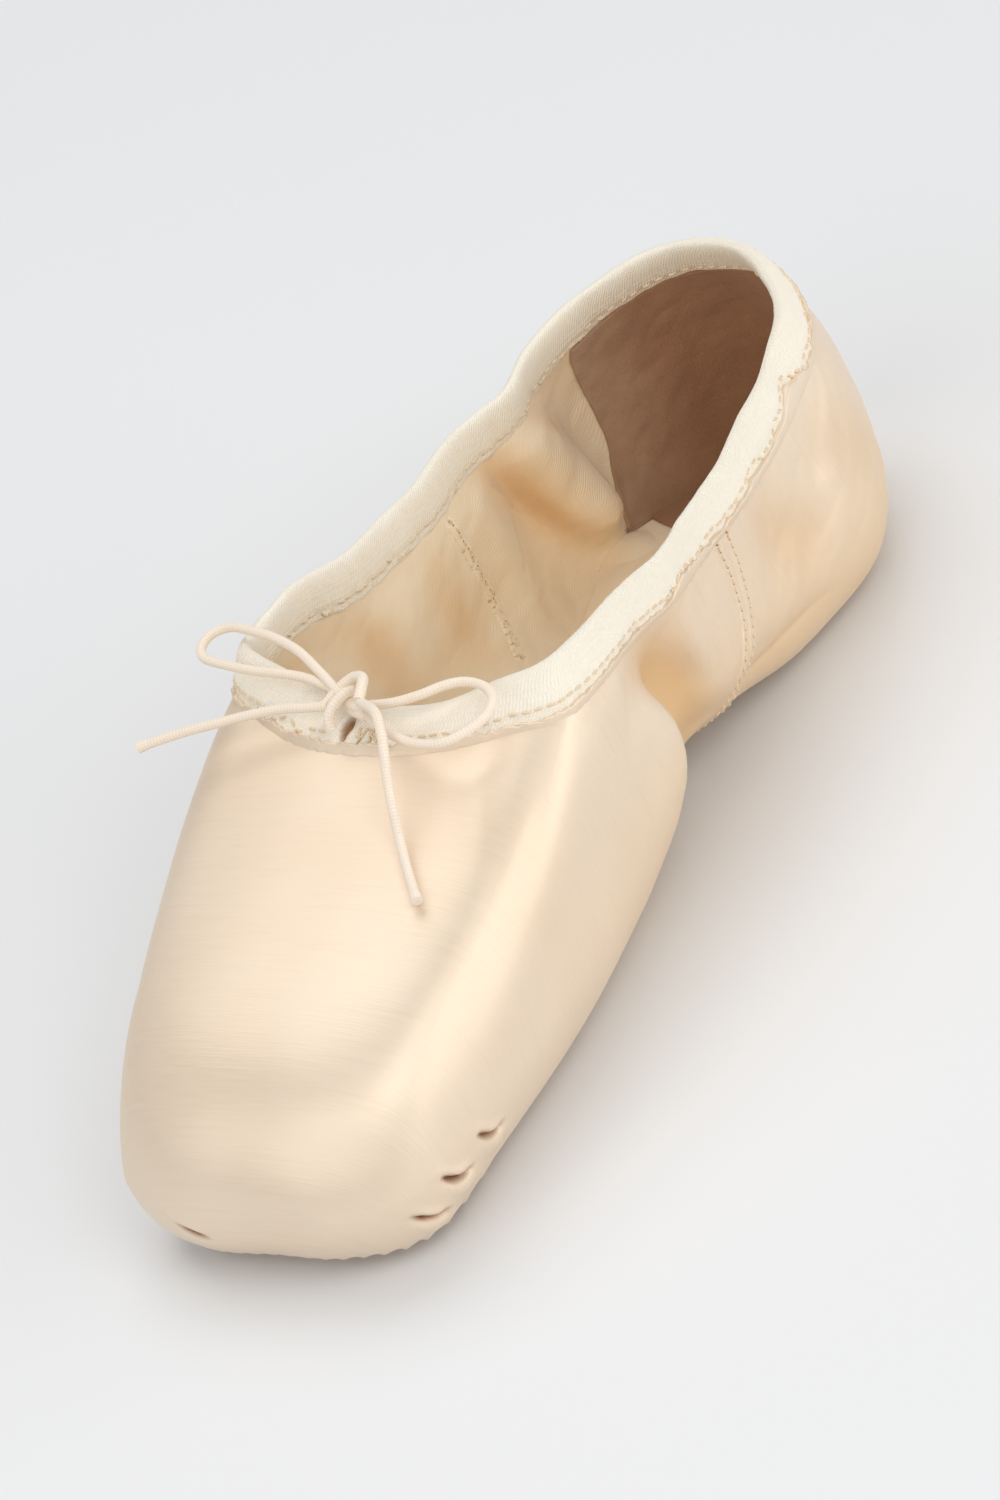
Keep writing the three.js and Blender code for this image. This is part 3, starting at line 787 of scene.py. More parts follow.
def satin_cloth():
    cloth = Finish("satin_cloth")
    place = cloth.place()
    x, y, z = cloth.parts(place)
    thread, climb, _ = cloth.parts(cloth.laid())
    weft = cloth.noise(cloth.vector(thread * 2600, y * 150, z * 150), 1.0, 2.0)
    slub = cloth.noise(cloth.vector(thread * 900, y * 60, z * 60), 1.0, 1.0)
    warp = cloth.noise(cloth.vector(thread * 160, y * 2600, z * 900), 1.0, 1.0)
    drift = cloth.noise(place, 26.0, 2.0)
    shade = cloth.blend(drift.between(0.3, 0.7), (0.80, 0.64, 0.475, 1), (0.84, 0.70, 0.545, 1))
    shade = cloth.blend(weft.between(0.35, 0.75) * 0.12, shade, (0.96, 0.85, 0.70, 1))
    shade = cloth.blend(slub.between(0.55, 0.8) * 0.10, shade, (0.68, 0.46, 0.28, 1))
    # Painted shade: the satin turns warm orange in the folds' troughs.
    shade = cloth.blend(cloth.mark("valley_shade") * 0.85, shade, (0.74, 0.46, 0.20, 1))
    # Painted shade: low on the sides, behind the box, the satin is coloured a darker warm gold.
    low = (0.032 - z).between(0.0, 0.022) * (0.060 - x).between(0.0, 0.05)
    shade = cloth.blend(low * 0.55, shade, (0.80, 0.56, 0.30, 1))
    # Painted shade: the laps' troughs and the slits turn dark brown.
    shade = cloth.blend(cloth.mark("pocket_shade"), shade, (0.26, 0.085, 0.02, 1))
    rough = 0.39 + 0.13 * weft
    lay_of_threads = cloth.relief(weft * 0.6 + slub * 0.4 + warp * 0.15, 0.00008, 0.55)
    return cloth.wear(Base_Color=shade, Roughness=rough, Normal=lay_of_threads, Metallic=0.32,
                      Specular_IOR_Level=0.55, Anisotropic=0.4, Sheen_Weight=0.1, Sheen_Roughness=0.4)


satin_finish = satin_cloth()
upper.data.materials.append(satin_finish)
smooth(upper, 70)
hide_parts("upper")
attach(upper, "root")


def seat(surface, points, lift=0.0):
    """The nearest places on a surface, a little off it, and the way it faces there."""
    seated, facing = [], []
    for point in points:
        spot, normal, _, _ = surface.find_nearest(Vector(point))
        seated.append(spot + normal * lift)
        facing.append(normal)
    return np.array(seated), np.array(facing)


def plain_stitch():
    """One stitch: a short plump thread, 1 long and 1 thick, its ends drawn down."""
    bpy.ops.mesh.primitive_uv_sphere_add(segments=8, ring_count=6, radius=0.5, rotation=(0, math.pi / 2, 0))
    made = bpy.context.object
    bpy.ops.object.transform_apply(location=False, rotation=True, scale=True)
    shape = np.array([v.co for v in made.data.vertices])
    faces = [tuple(f.vertices) for f in made.data.polygons]
    shape[:, 2] -= 0.9 * np.abs(shape[:, 0]) ** 2.5
    bpy.data.objects.remove(made, do_unlink=True)
    return shape, faces


stitch_shape, stitch_faces = plain_stitch()


def stitch_row(name, surface, path, pitch, long, wide, finish, lift):
    """A row of like stitches on a surface, one every pitch, each long by wide, as one piece."""
    count = max(int(length_of(np.array(path)) / pitch), 1)
    seated, facing = seat(surface, smooth_line(path, count * 4 + 1), lift)
    points, faces = [], []
    for k in range(2, len(seated) - 2, 4):
        ahead = seated[k + 1] - seated[k - 1]
        ahead /= max(np.linalg.norm(ahead), 1e-9)
        side = np.cross(facing[k], ahead)
        side /= max(np.linalg.norm(side), 1e-9)
        over = np.cross(ahead, side)
        faces += [tuple(i + len(points) for i in face) for face in stitch_faces]
        for u, v, w in stitch_shape:
            points.append(seated[k] + ahead * u * long + side * v * wide + over * w * wide)
    row = bpy.data.meshes.new(name)
    row.from_pydata(points, [], faces)
    piece = bpy.data.objects.new(name, row)
    bpy.context.collection.objects.link(piece)
    piece.data.materials.append(finish)
    smooth(piece)
    return piece


def sewing_thread():
    thread = Finish("sewing_thread")
    twist = thread.noise(thread.place(), 3200.0, 2.0)
    shade = thread.blend(twist, (0.70, 0.50, 0.30, 1), (0.90, 0.77, 0.58, 1))
    return thread.wear(Base_Color=shade, Roughness=0.6, Normal=thread.relief(twist, 0.00005, 0.6))


def needle_hole_shade():
    # Painted shade: a dark brown dot stands for the shadow in each needle hole; the nails on the soles use it
    # too.
    hole = Finish("needle_hole_shade")
    fray = hole.noise(hole.place(), 2400.0, 2.0)
    shade = hole.blend(fray, (0.36, 0.20, 0.09, 1), (0.58, 0.38, 0.20, 1))
    return hole.wear(Base_Color=shade, Roughness=0.95, Normal=hole.relief(fray, 0.00004, 0.5))


thread_finish, hole_shade_finish = sewing_thread(), needle_hole_shade()


def sew(name, surface, path, pitch=0.0017, long=0.0012, wide=0.00050, lift=0.0):
    """A sewn line: threads on the surface, and between each two a dark dot of painted shade for the needle
    hole.
    """
    thread_lift, hole_lift, hole_long, hole_wide = 0.00005, -0.00006, 0.0006, 0.00050
    threads = stitch_row(name + "_threads", surface, path, pitch, long, wide, thread_finish,
                         lift + thread_lift)
    fine = smooth_line(path, 200)
    between = fine[int(len(fine) / 2 * pitch / length_of(fine)):]
    hole_shades = stitch_row(name + "_holes", surface, between, pitch, hole_long, hole_wide, hole_shade_finish,
                       lift + hole_lift)
    for piece in (threads, hole_shades):
        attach(piece, "root")


def welt(name, surface, path, wide, high, finish, ends=0.06, split=True):
    """A seam: two folded edges side by side under the cloth, along a path on a surface."""
    count, across, sunk, cleft_wide = 160, 20, 0.00012, 0.00028
    seated, facing = seat(surface, smooth_line(path, count + 1))
    ahead = np.gradient(seated, axis=0)
    ahead /= np.linalg.norm(ahead, axis=1)[:, None]
    side = np.cross(facing, ahead)
    side /= np.linalg.norm(side, axis=1)[:, None]
    strip = grid(name, across, count)
    points, flat = [], []
    run = np.r_[0, np.cumsum(np.linalg.norm(np.diff(seated, axis=0), axis=1))]
    for k in range(count + 1):
        fade = min(1.0, k / (ends * count), (count - k) / (ends * count)) if ends else 1.0
        offsets = np.linspace(-1, 1, across + 1)
        spots, out = seat(surface, seated[k] + side[k] * offsets[:, None] * wide / 2)
        edge_drop = 1 - np.abs(offsets) ** 8
        cleft = np.exp(-((offsets * wide / 2 / cleft_wide) ** 2)) if split else 0.0
        lift = -sunk + (high + sunk) * edge_drop * fade - high * 0.9 * cleft * fade
        for spot, normal, h in zip(spots, out, lift):
            points.append(spot + normal * h)
            flat.append((spot[0], run[k]))
    lay(strip, points, flat)
    strip.data.materials.append(finish)
    smooth(strip)
    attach(strip, "root")


def sew_beside(name, path, lift, rows):
    """Rows of stitches beside a seam: the name of each, and how far off it lies in x and y."""
    for row_name, ahead, aside in rows:
        row = [(x + ahead, y + aside, z) for x, y, z in path]
        sew("%s_%s" % (name, row_name), outer_surface, row, lift=lift)


# The quarters join the vamp at a seam on each side, and meet at a seam under the arch. Each seam is
# pressed open and sewn down on both sides of the join.
side_join = [(-0.0346, 0.0301, 0.0438), (-0.0348, 0.0299, 0.0366), (-0.0344, 0.0299, 0.0320),
             (-0.0328, 0.0298, 0.0262), (-0.0301, 0.0292, 0.0214), (-0.0275, 0.0277, 0.0164),
             (-0.0250, 0.0225, 0.0105), (-0.0232, 0.0140, 0.0085), (-0.0222, 0.0030, 0.0085)]
for side_name, hand in (("left", 1), ("right", -1)):
    join = [(x, y * hand, z) for x, y, z in side_join]
    welt("side_seam_" + side_name, outer_surface, join, 0.0050, 0.00034, satin_finish)
    sew_beside("side_seam_" + side_name, join, 0.00030, (("front", 0.0018, 0.0), ("back", -0.0018, 0.0)))
under_seam = [(x, 0.0, float(bottom_height(x))) for x in (-0.0035, -0.012, -0.022, -0.032, -0.0425)]
welt("under_seam", outer_surface, under_seam, 0.0044, 0.00022, satin_finish)
sew_beside("under_seam", under_seam, 0.00018, (("left", 0.0, 0.0015), ("right", 0.0, -0.0015)))

# A strip of the same satin covers the seam up the back of the heel, its edges folded under.
back_line = [(-0.1010, 0.0, 0.0030), (-0.1075, 0.0, 0.0055), (-0.1125, 0.0, 0.0110), (-0.1148, 0.0, 0.0200),
             (-0.1142, 0.0, 0.0290), (-0.1120, 0.0, 0.0380), (-0.1085, 0.0, 0.0460), (-0.1066, 0.0, 0.0500)]
welt("back_strip", outer_surface, back_line, 0.0105, 0.00045, satin_finish, ends=0, split=False)
sew_beside("back_strip", back_line, 0.00042, (("left", 0.0006, 0.0040), ("right", 0.0006, -0.0040)))

# ---- Lining ---------------------------------------------------------------------------------------
# Cream cotton twill, pasted to the inside of the wall. It is slack in front of the heel on the right
# side, where it falls in one large fold, and it is seamed across in front of that.
lining_wall = 0.0005
lining_folds = [
    # the fold: a broad swell with a narrow crest along its rear, and a hollow in front of it
    (6.8, 2, [(-58, -28.5, 46, 0), (-64, -28.5, 39, -1.6), (-70, -30, 29, -5), (-74, -28.5, 18, -6.4),
              (-76.5, -25, 8.5, -6), (-78, -21.5, 5.5, -4)]),
    (2.2, 2, [(-59.5, -28.2, 46, 0), (-66, -28.5, 38.5, -1.6), (-72.8, -30, 28.5, -3.8),
              (-77.5, -28.5, 17.5, -4), (-79.5, -24, 8.5, -3)]),
    (3.2, 2, [(-52, -28.4, 45, 0), (-57.2, -29, 36.5, 1.2), (-64, -30.5, 25, 1.8), (-68.5, -28.5, 14, 1)]),
    # slack between the fold and the seam
    (5, 2, [(-48, -28.6, 42, -0.4), (-50, -29.9, 32, -1.8), (-52, -30.5, 22, -2.4), (-52, -29, 12, -1)]),
    (6, 2, [(-18, -29, 44, 0), (-16, -30, 34, -1.4), (-12, -31, 22, -1.6), (-8, -29, 12, 0)]),
    (5, 2, [(-2, -30, 46, 0), (6, -31.5, 36, -1.4), (14, -32, 26, -1.4), (20, -30, 14, 0)]),
    (7, 2, [(14, 0, 52, 0), (30, -10, 50, -1), (45, -15, 46, 0)]),
]
# Where the cotton is painted warm with shade, and how much, from nought to one: along the fold's
# hollow, beside the seam and round the throat.
lining_shade = [
    (4.8, 2, [(-54.5, -28.4, 44, 0.5), (-60, -28.8, 36, 0.9), (-66.5, -30.5, 26.5, 1),
              (-71.5, -28.5, 15, 0.9), (-73, -25, 7, 0.6)]),
    (2.2, 2, [(-69, -28.5, 43, 0.6), (-72, -29, 38, 0.9), (-76, -30, 32, 0.6)]),
    (6, 2, [(-30, -29, 36, 0.4), (-31, -29, 28, 0.6), (-33, -28, 18, 0.4)]),
    (5.5, 2, [(-4, -30, 45, 0.5), (-9, -30, 38, 0.8), (-10, -30, 28, 0.6)]),
    (6, 2, [(6, -32, 48, 0.5), (11, -32, 42, 0.9), (18, -31, 33, 0.8)]),
]
pasted = skin - outward * (walls - lining_wall)[:, :, None]
shaded = press(pasted, outward, lining_shade, depth_unit=1.0)
fallen_shade = ramp(((shaded - pasted) * outward).sum(axis=2), 0, 1)
inner = press(pasted, outward, lining_folds)
wrinkle, wrinkle_scale = 0.0008, 95.0
loose = 1 - ramp(inner[:, :, 0], 0.020, 0.070)
inner = inner - outward * (wrinkle * loose * crumple(inner, wrinkle_scale))[:, :, None]
# The tape's stitches hold its upper edge to the wall.
rows_below_tape = np.arange(inner.shape[1])[::-1]
inner = pasted + (inner - pasted) * ramp(rows_below_tape, 0, 7)[None, :, None]
lining = grid("lining_twill", around, inner.shape[1] - 1)
lay(lining, inner.transpose(1, 0, 2), np.stack([thread.T.ravel(), climb.T.ravel()], axis=1))
keep(lining, "fallen_shade", fallen_shade.T)
edit(lining, sew_up)
solidify(lining, lining_wall)
inner_surface = surface_of(lining)


def cream_twill():
    """Cotton twill: fine slanting ribs, a little uneven, with fuzz on them."""
    cloth = Finish("lining_cotton")
    along, across, _ = cloth.parts(cloth.laid())
    place = cloth.place()
    wander = cloth.noise(place, 420.0, 3.0)
    rib_pitch = 0.00055
    turn = 2 * math.pi / rib_pitch
    rib = ((along + across * 0.8) * turn + wander * 5.0).sine().between(-1, 1)
    fuzz = cloth.noise(place, 1900.0, 4.0, 0.7)
    drift = cloth.noise(place, 70.0, 3.0)
    stain = cloth.noise(place, 34.0, 3.0)
    shade = cloth.blend(rib * 0.30 + fuzz * 0.40 + drift * 0.30, (0.92, 0.75, 0.52, 1), (0.99, 0.89, 0.71, 1))
    shade = cloth.blend(stain.between(0.45, 0.75) * 0.45, shade, (0.80, 0.55, 0.29, 1))
    # Painted shade: the cotton turns warm orange along the fold's hollow, beside the seam and round the
    # throat.
    shade = cloth.blend(cloth.mark("fallen_shade") * 0.75, shade, (0.83, 0.50, 0.22, 1))
    weave = cloth.relief(rib * 0.45 + fuzz * 0.55, 0.00009, 0.8)
    return cloth.wear(Base_Color=shade, Roughness=0.9, Normal=weave, Sheen_Weight=0.1)


lining_cotton = cream_twill()
lining.data.materials.append(lining_cotton)
smooth(lining, 60)
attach(lining, "root")
lining_seam = [(-0.0392, -0.0270, 0.0425), (-0.0416, -0.0272, 0.0313), (-0.0431, -0.0268, 0.0189),
               (-0.0391, -0.0228, 0.0110)]
for seam_name, hand in (("right", 1), ("left", -1)):
    line = [(x, y * hand, z) for x, y, z in lining_seam]
    welt("lining_seam_" + seam_name, inner_surface, line, 0.0030, 0.00045, lining_cotton, split=False)
    sew("lining_seam_" + seam_name, inner_surface, line, pitch=0.0021, long=0.0013, lift=0.00042)

# ---- Heel grip ------------------------------------------------------------------------------------
# Brown suede glued inside the heel, from the collar down to the insole, so that the heel doesn't slip.
# It is one piece; its front edges lean back as they go down, then forward again at the bottom.
grip_thick, glue = 0.0007, 0.0001
grip_first, quarter_round, half_round = bottom_rows + 1, around // 4, around // 2
# How far forward the grip's edge stands at each height: z, x.
grip_front = [(0.002, -0.0800), (0.010, -0.0850), (0.020, -0.0900), (0.0324, -0.0884), (0.0425, -0.0855),
              (0.060, -0.0815)]
grip_columns, starts = 150, []
for j in range(grip_first, inner.shape[1]):
    half = inner[quarter_round : half_round + 1, j]
    gap = half[:, 0] - np.interp(half[:, 2], [z for z, _ in grip_front], [x for _, x in grip_front])
    first = int(np.argmax(gap < 0))
    starts.append(quarter_round + first - gap[first] / (gap[first] - gap[first - 1]))
evened = 9
starts = np.convolve(np.pad(starts, evened // 2, mode="edge"), np.full(evened, 1 / evened), mode="valid")
grip_points, grip_flat = [], []
index = np.arange(around + 1)
for j, start in zip(range(grip_first, inner.shape[1]), starts):
    lifted = inner[:, j] - outward[:, j] * (lining_wall + glue)
    for column in np.linspace(start, around - start, grip_columns + 1):
        grip_points.append([np.interp(column, index, axis) for axis in lifted.T])
        grip_flat.append((np.interp(column, index, thread[:, j]), np.interp(column, index, climb[:, j])))
grip = grid("heel_grip_suede", grip_columns, len(starts) - 1)
lay(grip, grip_points, grip_flat)
along_grip = np.abs(np.linspace(-1, 1, grip_columns + 1))
keep(grip, "worn_nap", np.tile(ramp(along_grip, 0.5, 1.0) ** 1.3, len(starts)))
solidify(grip, grip_thick)


def suede():
    """Napped leather: soft short fibres that lie in small patches, rubbed pale where it is worn."""
    nap = Finish("brown_suede")
    place = nap.place()
    patches = nap.noise(place, 120.0, 3.0)
    fibres = nap.noise(nap.stretched(place, 2600, 1500, 2200), 1.0, 3.0)
    shade = nap.blend(patches * 0.45 + fibres * 0.55, (0.25, 0.12, 0.06, 1), (0.42, 0.225, 0.12, 1))
    shade = nap.blend(nap.mark("worn_nap") * (0.20 + patches), shade, (0.54, 0.37, 0.25, 1))
    lay_of_nap = nap.relief(fibres, 0.00015, 0.7)
    return nap.wear(Base_Color=shade, Roughness=0.95, Normal=lay_of_nap, Sheen_Weight=0.1,
                    Sheen_Roughness=0.6)


brown_suede = suede()
grip.data.materials.append(brown_suede)
smooth(grip, 60)
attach(grip, "root")

# ---- Insole ---------------------------------------------------------------------------------------
# The shank and its padding under a cotton sock of the lining's twill, cut to the feather edge and glued
# down, with a pad of the heel grip's suede over its heel.
insole_low, insole_thick, insole_inside = 0.0019, 0.0022, 0.001
insole_outline = [feather(meridian(p), insole_inside) for p in np.linspace(0, 10, 400)]
insole_front, insole_back = insole_outline[0][0], insole_outline[-1][0]


def plate(name, x_rows, low, thick, bow=0.0):
    """A flat piece of the insole's outline that follows the underside of the upper, laid face down and
    given its thickness. Its front edge bows forward."""
    columns = 24
    sheet = grid(name, columns, len(x_rows) - 1)
    points, flat = [], []
    for k, x_row in enumerate(x_rows):
        for part in np.linspace(-1, 1, columns + 1):
            x = x_row + bow * (1 - part * part) * k / (len(x_rows) - 1)
            across = part * half_width(x_row, insole_outline)
            points.append((x, across, bottom_height(x) + low))
            flat.append((x, across))
    lay(sheet, points, flat)
    edit(sheet, sew_up)
    solidify(sheet, thick)
    return sheet


sock_count, pad_count = 121, 80
spaced = (1 - np.cos(np.linspace(0, math.pi, sock_count))) / 2
insole_rows = insole_back + spaced * (insole_front - insole_back)
insole = plate("insole_sock", insole_rows, insole_low, insole_thick)
insole.data.materials.append(lining_cotton)
smooth(insole, 40)
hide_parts("insole")
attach(insole, "root")
pad_front, pad_thick = -0.0860, 0.0008
pad_rows = insole_back + spaced[:pad_count] / spaced[pad_count - 1] * (pad_front - insole_back)
pad = plate("heel_pad_suede", pad_rows, insole_low + insole_thick + glue, pad_thick, bow=0.006)
pad.data.materials.append(brown_suede)
smooth(pad, 40)
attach(pad, "root")

# ---- Binding --------------------------------------------------------------------------------------
# A cotton twill tape folded over the edge of the satin and sewn through near its lower edge. It hides
# the drawstring, which gathers it slightly, and its two ends meet at the throat in a small open notch.
binding_high, binding_thick, binding_lap = 0.0095, 0.0032, 0.0006


def unit(vectors):
    return vectors / np.linalg.norm(vectors, axis=1)[:, None]


def square_to(vectors, axes):
    """What is left of the vectors at right angles to the axes, one long."""
    return unit(vectors - axes * (vectors * axes).sum(axis=1)[:, None])


edge, inside_edge = skin[:-1, -1], (skin - outward * walls[:, :, None])[:-1, -1]
round_edge = unit(np.roll(edge, -1, axis=0) - np.roll(edge, 1, axis=0))
climb_up = square_to(edge - skin[:-1, -3], round_edge)
evened = 20
tape_up = unit(sum(np.roll(climb_up, k, axis=0) for k in range(-evened, evened + 1)))
tape_up[:, 2] += np.array([row["stand"] for row in meridians[:-1]])
tape_up = unit(tape_up)
tape_out = square_to(edge - inside_edge, tape_up)
middle = (edge + inside_edge) / 2 + tape_up * (binding_high / 2 - binding_lap)
run = np.r_[0, np.cumsum(np.linalg.norm(np.diff(middle, axis=0, append=middle[:1]), axis=1))]

# How far the tape's lower edge is lifted, or below nought hangs, along the left side: x, height.
left_lift = [(-0.120, 0.0), (-0.086, -0.0008), (-0.0795, -0.0006), (-0.0745, 0.0022), (-0.069, 0.0030),
             (-0.0650, 0.0016), (-0.058, 0.0003), (-0.050, 0.0008), (-0.038, 0.0), (-0.030, 0.0006),
             (-0.024, 0.0018), (-0.0165, 0.0024), (-0.0138, 0.0014), (-0.0115, -0.0014), (-0.006, -0.0003),
             (0.004, 0.0), (0.040, 0.0)]


def edge_lift(m):
    """How far the tape's lower edge is lifted at one column."""
    x, y, _ = middle[m % around]
    s = run[m % around]
    waver = 0.00016 * math.sin(s * 610) + 0.00014 * math.sin(s * 1130 + 0.7)
    if y < 0:
        return waver
    return waver + float(np.interp(x, [row[0] for row in left_lift], [row[1] for row in left_lift]))


def rounded(share):
    """Squares off a sine or cosine, for the section of a flat folded tape."""
    return math.copysign(abs(share) ** (2 / 2.8), share)


def notch_at(x, y, high):
    """How far the notch is cut in at a place on the tape's outer face, from nought to one."""
    if x <= 0.02:
        return 0.0
    half_open = notch_wide * (1 - abs(high + 0.1) * 1.15)
    cut_in = min(1.0, max(0.0, (half_open - abs(y - notch_side)) / 0.0005))
    return cut_in * min(1.0, max(0.0, (0.45 - high) * 5))


def lay_round(sheet, rows, points, flat):
    """Lays a sheet whose points are given column by column round the shoe."""
    points = np.array(points).reshape(-1, rows, 3).transpose(1, 0, 2)
    flat = np.array(flat).reshape(-1, rows, 2).transpose(1, 0, 2)
    lay(sheet, points, flat.reshape(-1, 2))


stitch_level, stitch_sunk = 0.0018, 0.00032
notch_side, notch_wide, notch_deep = -0.0052, 0.0015, 0.0013
tape_sides = 56
tape_points, tape_flat, mouth_shade = [], [], []
for k in range(around + 1):
    m = k % around
    x, y, _ = middle[m]
    s = run[m]
    gather = (0.00016 * math.sin(s * 1040 + 2 * math.sin(s * 130)) + 0.00016 * math.sin(s * 610 + 1.3)
              + 0.00018 * math.sin(s * 330 + 1.5 * math.sin(s * 71)))
    sway = 0.0003 * math.sin(s * 190 + 0.5 + 2 * math.sin(s * 47))
    pinch = 0.0009 * math.exp(-(((x + 0.072) / 0.0028) ** 2)) if y > 0 else 0.0
    lifted = edge_lift(m)
    for turn in np.linspace(0, 2 * math.pi, tape_sides + 1):
        outer = math.cos(turn) > 0
        high = rounded(math.sin(turn))
        from_edge = (high + 1) * binding_high / 2 - max(lifted, 0.0)
        sewn = stitch_sunk * math.exp(-(((from_edge - stitch_level) / 0.0006) ** 2))
        notch = notch_at(x, y, high) if outer else 0.0
        proud = binding_thick / 2 + gather * (0.35 + 0.65 * max(0.0, -high)) - sewn - pinch * outer
        point = middle[m] + tape_out[m] * rounded(math.cos(turn)) * (proud - notch_deep * notch)
        point += tape_up[m] * (high * binding_high / 2 + min(lifted, 0.0) * max(0.0, -high) + sway)
        tape_points.append(point)
        tape_flat.append((s if k < around else run[-1], turn / (2 * math.pi) * 2.2 * binding_high))
        mouth_shade.append(notch)
binding = grid("binding_tape", around, tape_sides)
lay_round(binding, tape_sides + 1, tape_points, tape_flat)
# Painted shade: how far the notch is cut in darkens the tape's face there, where the casing opens.
keep(binding, "mouth_shade", np.array(mouth_shade).reshape(around + 1, tape_sides + 1).T)
edit(binding, sew_up, face_outwards)


def bound_tape():
    """The same twill, whiter, with painted shade where the casing opens at the notch on the throat."""
    tape = Finish("bound_tape")
    along, across, _ = tape.parts(tape.laid())
    place = tape.place()
    wander = tape.noise(place, 260.0, 2.0)
    rib_pitch, cross_pitch = 0.00062, 0.00050
    rib = ((along - across * 0.7) * (2 * math.pi / rib_pitch) + wander * 2.5).sine().between(-1, 1)
    cross = (across * (2 * math.pi / cross_pitch) + wander * 2.0).sine().between(-1, 1)
    fuzz = tape.noise(place, 2600.0, 3.0)
    drift = tape.noise(place, 70.0, 2.0)
    shade = tape.blend(rib * 0.3 + fuzz * 0.4 + drift * 0.3, (0.91, 0.81, 0.65, 1), (0.99, 0.94, 0.83, 1))
    # Painted shade: the casing's opening at the notch turns dark brown.
    shade = tape.blend(tape.mark("mouth_shade"), shade, (0.34, 0.17, 0.07, 1))
    weave = tape.relief(rib * 0.5 + cross * 0.2 + fuzz * 0.5, 0.00022, 0.9)
    return tape.wear(Base_Color=shade, Roughness=0.86, Normal=weave, Sheen_Weight=0.12)


binding.data.materials.append(bound_tape())
smooth(binding, 75)
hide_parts("binding")
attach(binding, "root")
tape_surface = surface_of(binding)


def along_tape(first, last, facing):
    """The stitches' line from one column to another, on the tape's outer or inner face."""
    spots = []
    for k in range(first, last, 2):
        m = k % around
        high = -binding_high / 2 + stitch_level + (max(edge_lift(m), 0.0) if facing > 0 else 0.0)
        spots.append(middle[m] + tape_out[m] * facing * binding_thick + tape_up[m] * high)
    return spots


# The stitches stop at the notch, 2.4 mm each side of its middle.
beside_notch = [k for k in range(around) if middle[k][0] > 0.03 and abs(middle[k][1] - notch_side) < 0.0024]
notch_first, notch_last = min(beside_notch), max(beside_notch)
for face_name, line in (("outer", along_tape(notch_last - around, notch_first, 1)),
                        ("inner", along_tape(6, around - 6, -1))):
    sew("binding_" + face_name, tape_surface, line, pitch=0.0024, long=0.0017, wide=0.00055, lift=0.00004)

# The tape's ends are tacked down beside the notch with a few slanting stitches.
tack_low, tack_high, tack_points, tack_radius, tack_lift = 0.0016, 0.0042, 90, 0.00022, 0.00012
tack = []
for k in range(9):
    m = (notch_last + 2 + int(1.6 * k)) % around
    level = -binding_high / 2 + (tack_low if k % 2 else tack_high)
    tack.append(middle[m] + tape_out[m] * binding_thick + tape_up[m] * level)
seated, _ = seat(tape_surface, smooth_line(tack, tack_points), tack_lift)
tacking = tube("binding_tack", seated, np.full(tack_points, tack_radius), 6)
tacking.data.materials.append(thread_finish)
smooth(tacking)
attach(tacking, "root")

# Below the tape the satin's raw edge shows as a narrow uneven lip that stands a little proud. Each row of
# it: how high it lies, and how far it stands out.
lip_rows = [(-0.0011, 0.00002), (-0.0009, 0.00030), (-0.0004, 0.00048), (0.0002, 0.00050), (0.0006, 0.00040),
            (0.0009, 0.00022), (0.0010, -0.0002), (0.0010, -0.0008), (0.0010, -0.0013)]
tucked = 0.0004
lip_points, lip_flat = [], []
for k in range(around + 1):
    m = k % around
    s = run[m]
    fray = 0.00018 * math.sin(s * 1900 + 3 * math.sin(s * 310)) + 0.00014 * math.sin(s * 3700 + 1.1)
    lifted = max(edge_lift(m), 0.0)
    for level, proud in lip_rows:
        height = level * 0.75 + lifted + fray if level > 0 else level + fray * 0.5
        base = middle[m] + tape_up[m] * (height - (binding_high / 2 - binding_lap + tucked))
        share = min(1.0, max(0.0, (height + tucked) / 0.0012))
        out_by = walls[m, -1] / 2 + share * (binding_thick / 2 - walls[m, -1] / 2)
        lip_points.append(base + tape_out[m] * (out_by + proud))
        lip_flat.append((base[0], s))
raw_lip = grid("raw_satin_lip", around, len(lip_rows) - 1)
lay_round(raw_lip, len(lip_rows), lip_points, lip_flat)
edit(raw_lip, sew_up)
raw_lip.data.materials.append(satin_finish)
smooth(raw_lip, 70)
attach(raw_lip, "root")

# ---- Outsoles -------------------------------------------------------------------------------------
# Two plates of tan sole leather, the split sole: one under the ball and one under the heel. Wavy grooves
# are pressed into each for grip, and their edges are cut clean and left pale.
sole_thick, sole_clear, groove_deep = 0.0018, 0.0003, 0.00038
forefoot_outline = [(0.0985, 0.0), (0.0975, 0.008), (0.094, 0.0145), (0.086, 0.0195), (0.072, 0.0228),
                    (0.056, 0.0236), (0.040, 0.0228), (0.024, 0.020), (0.012, 0.0165), (0.003, 0.012),
                    (-0.001, 0.007), (-0.0025, 0.0)]
heel_outline = [(-0.0435, 0.0), (-0.0448, 0.007), (-0.049, 0.013), (-0.057, 0.018), (-0.068, 0.0212),
                (-0.079, 0.0222), (-0.090, 0.0206), (-0.098, 0.0162), (-0.103, 0.009), (-0.1045, 0.0)]


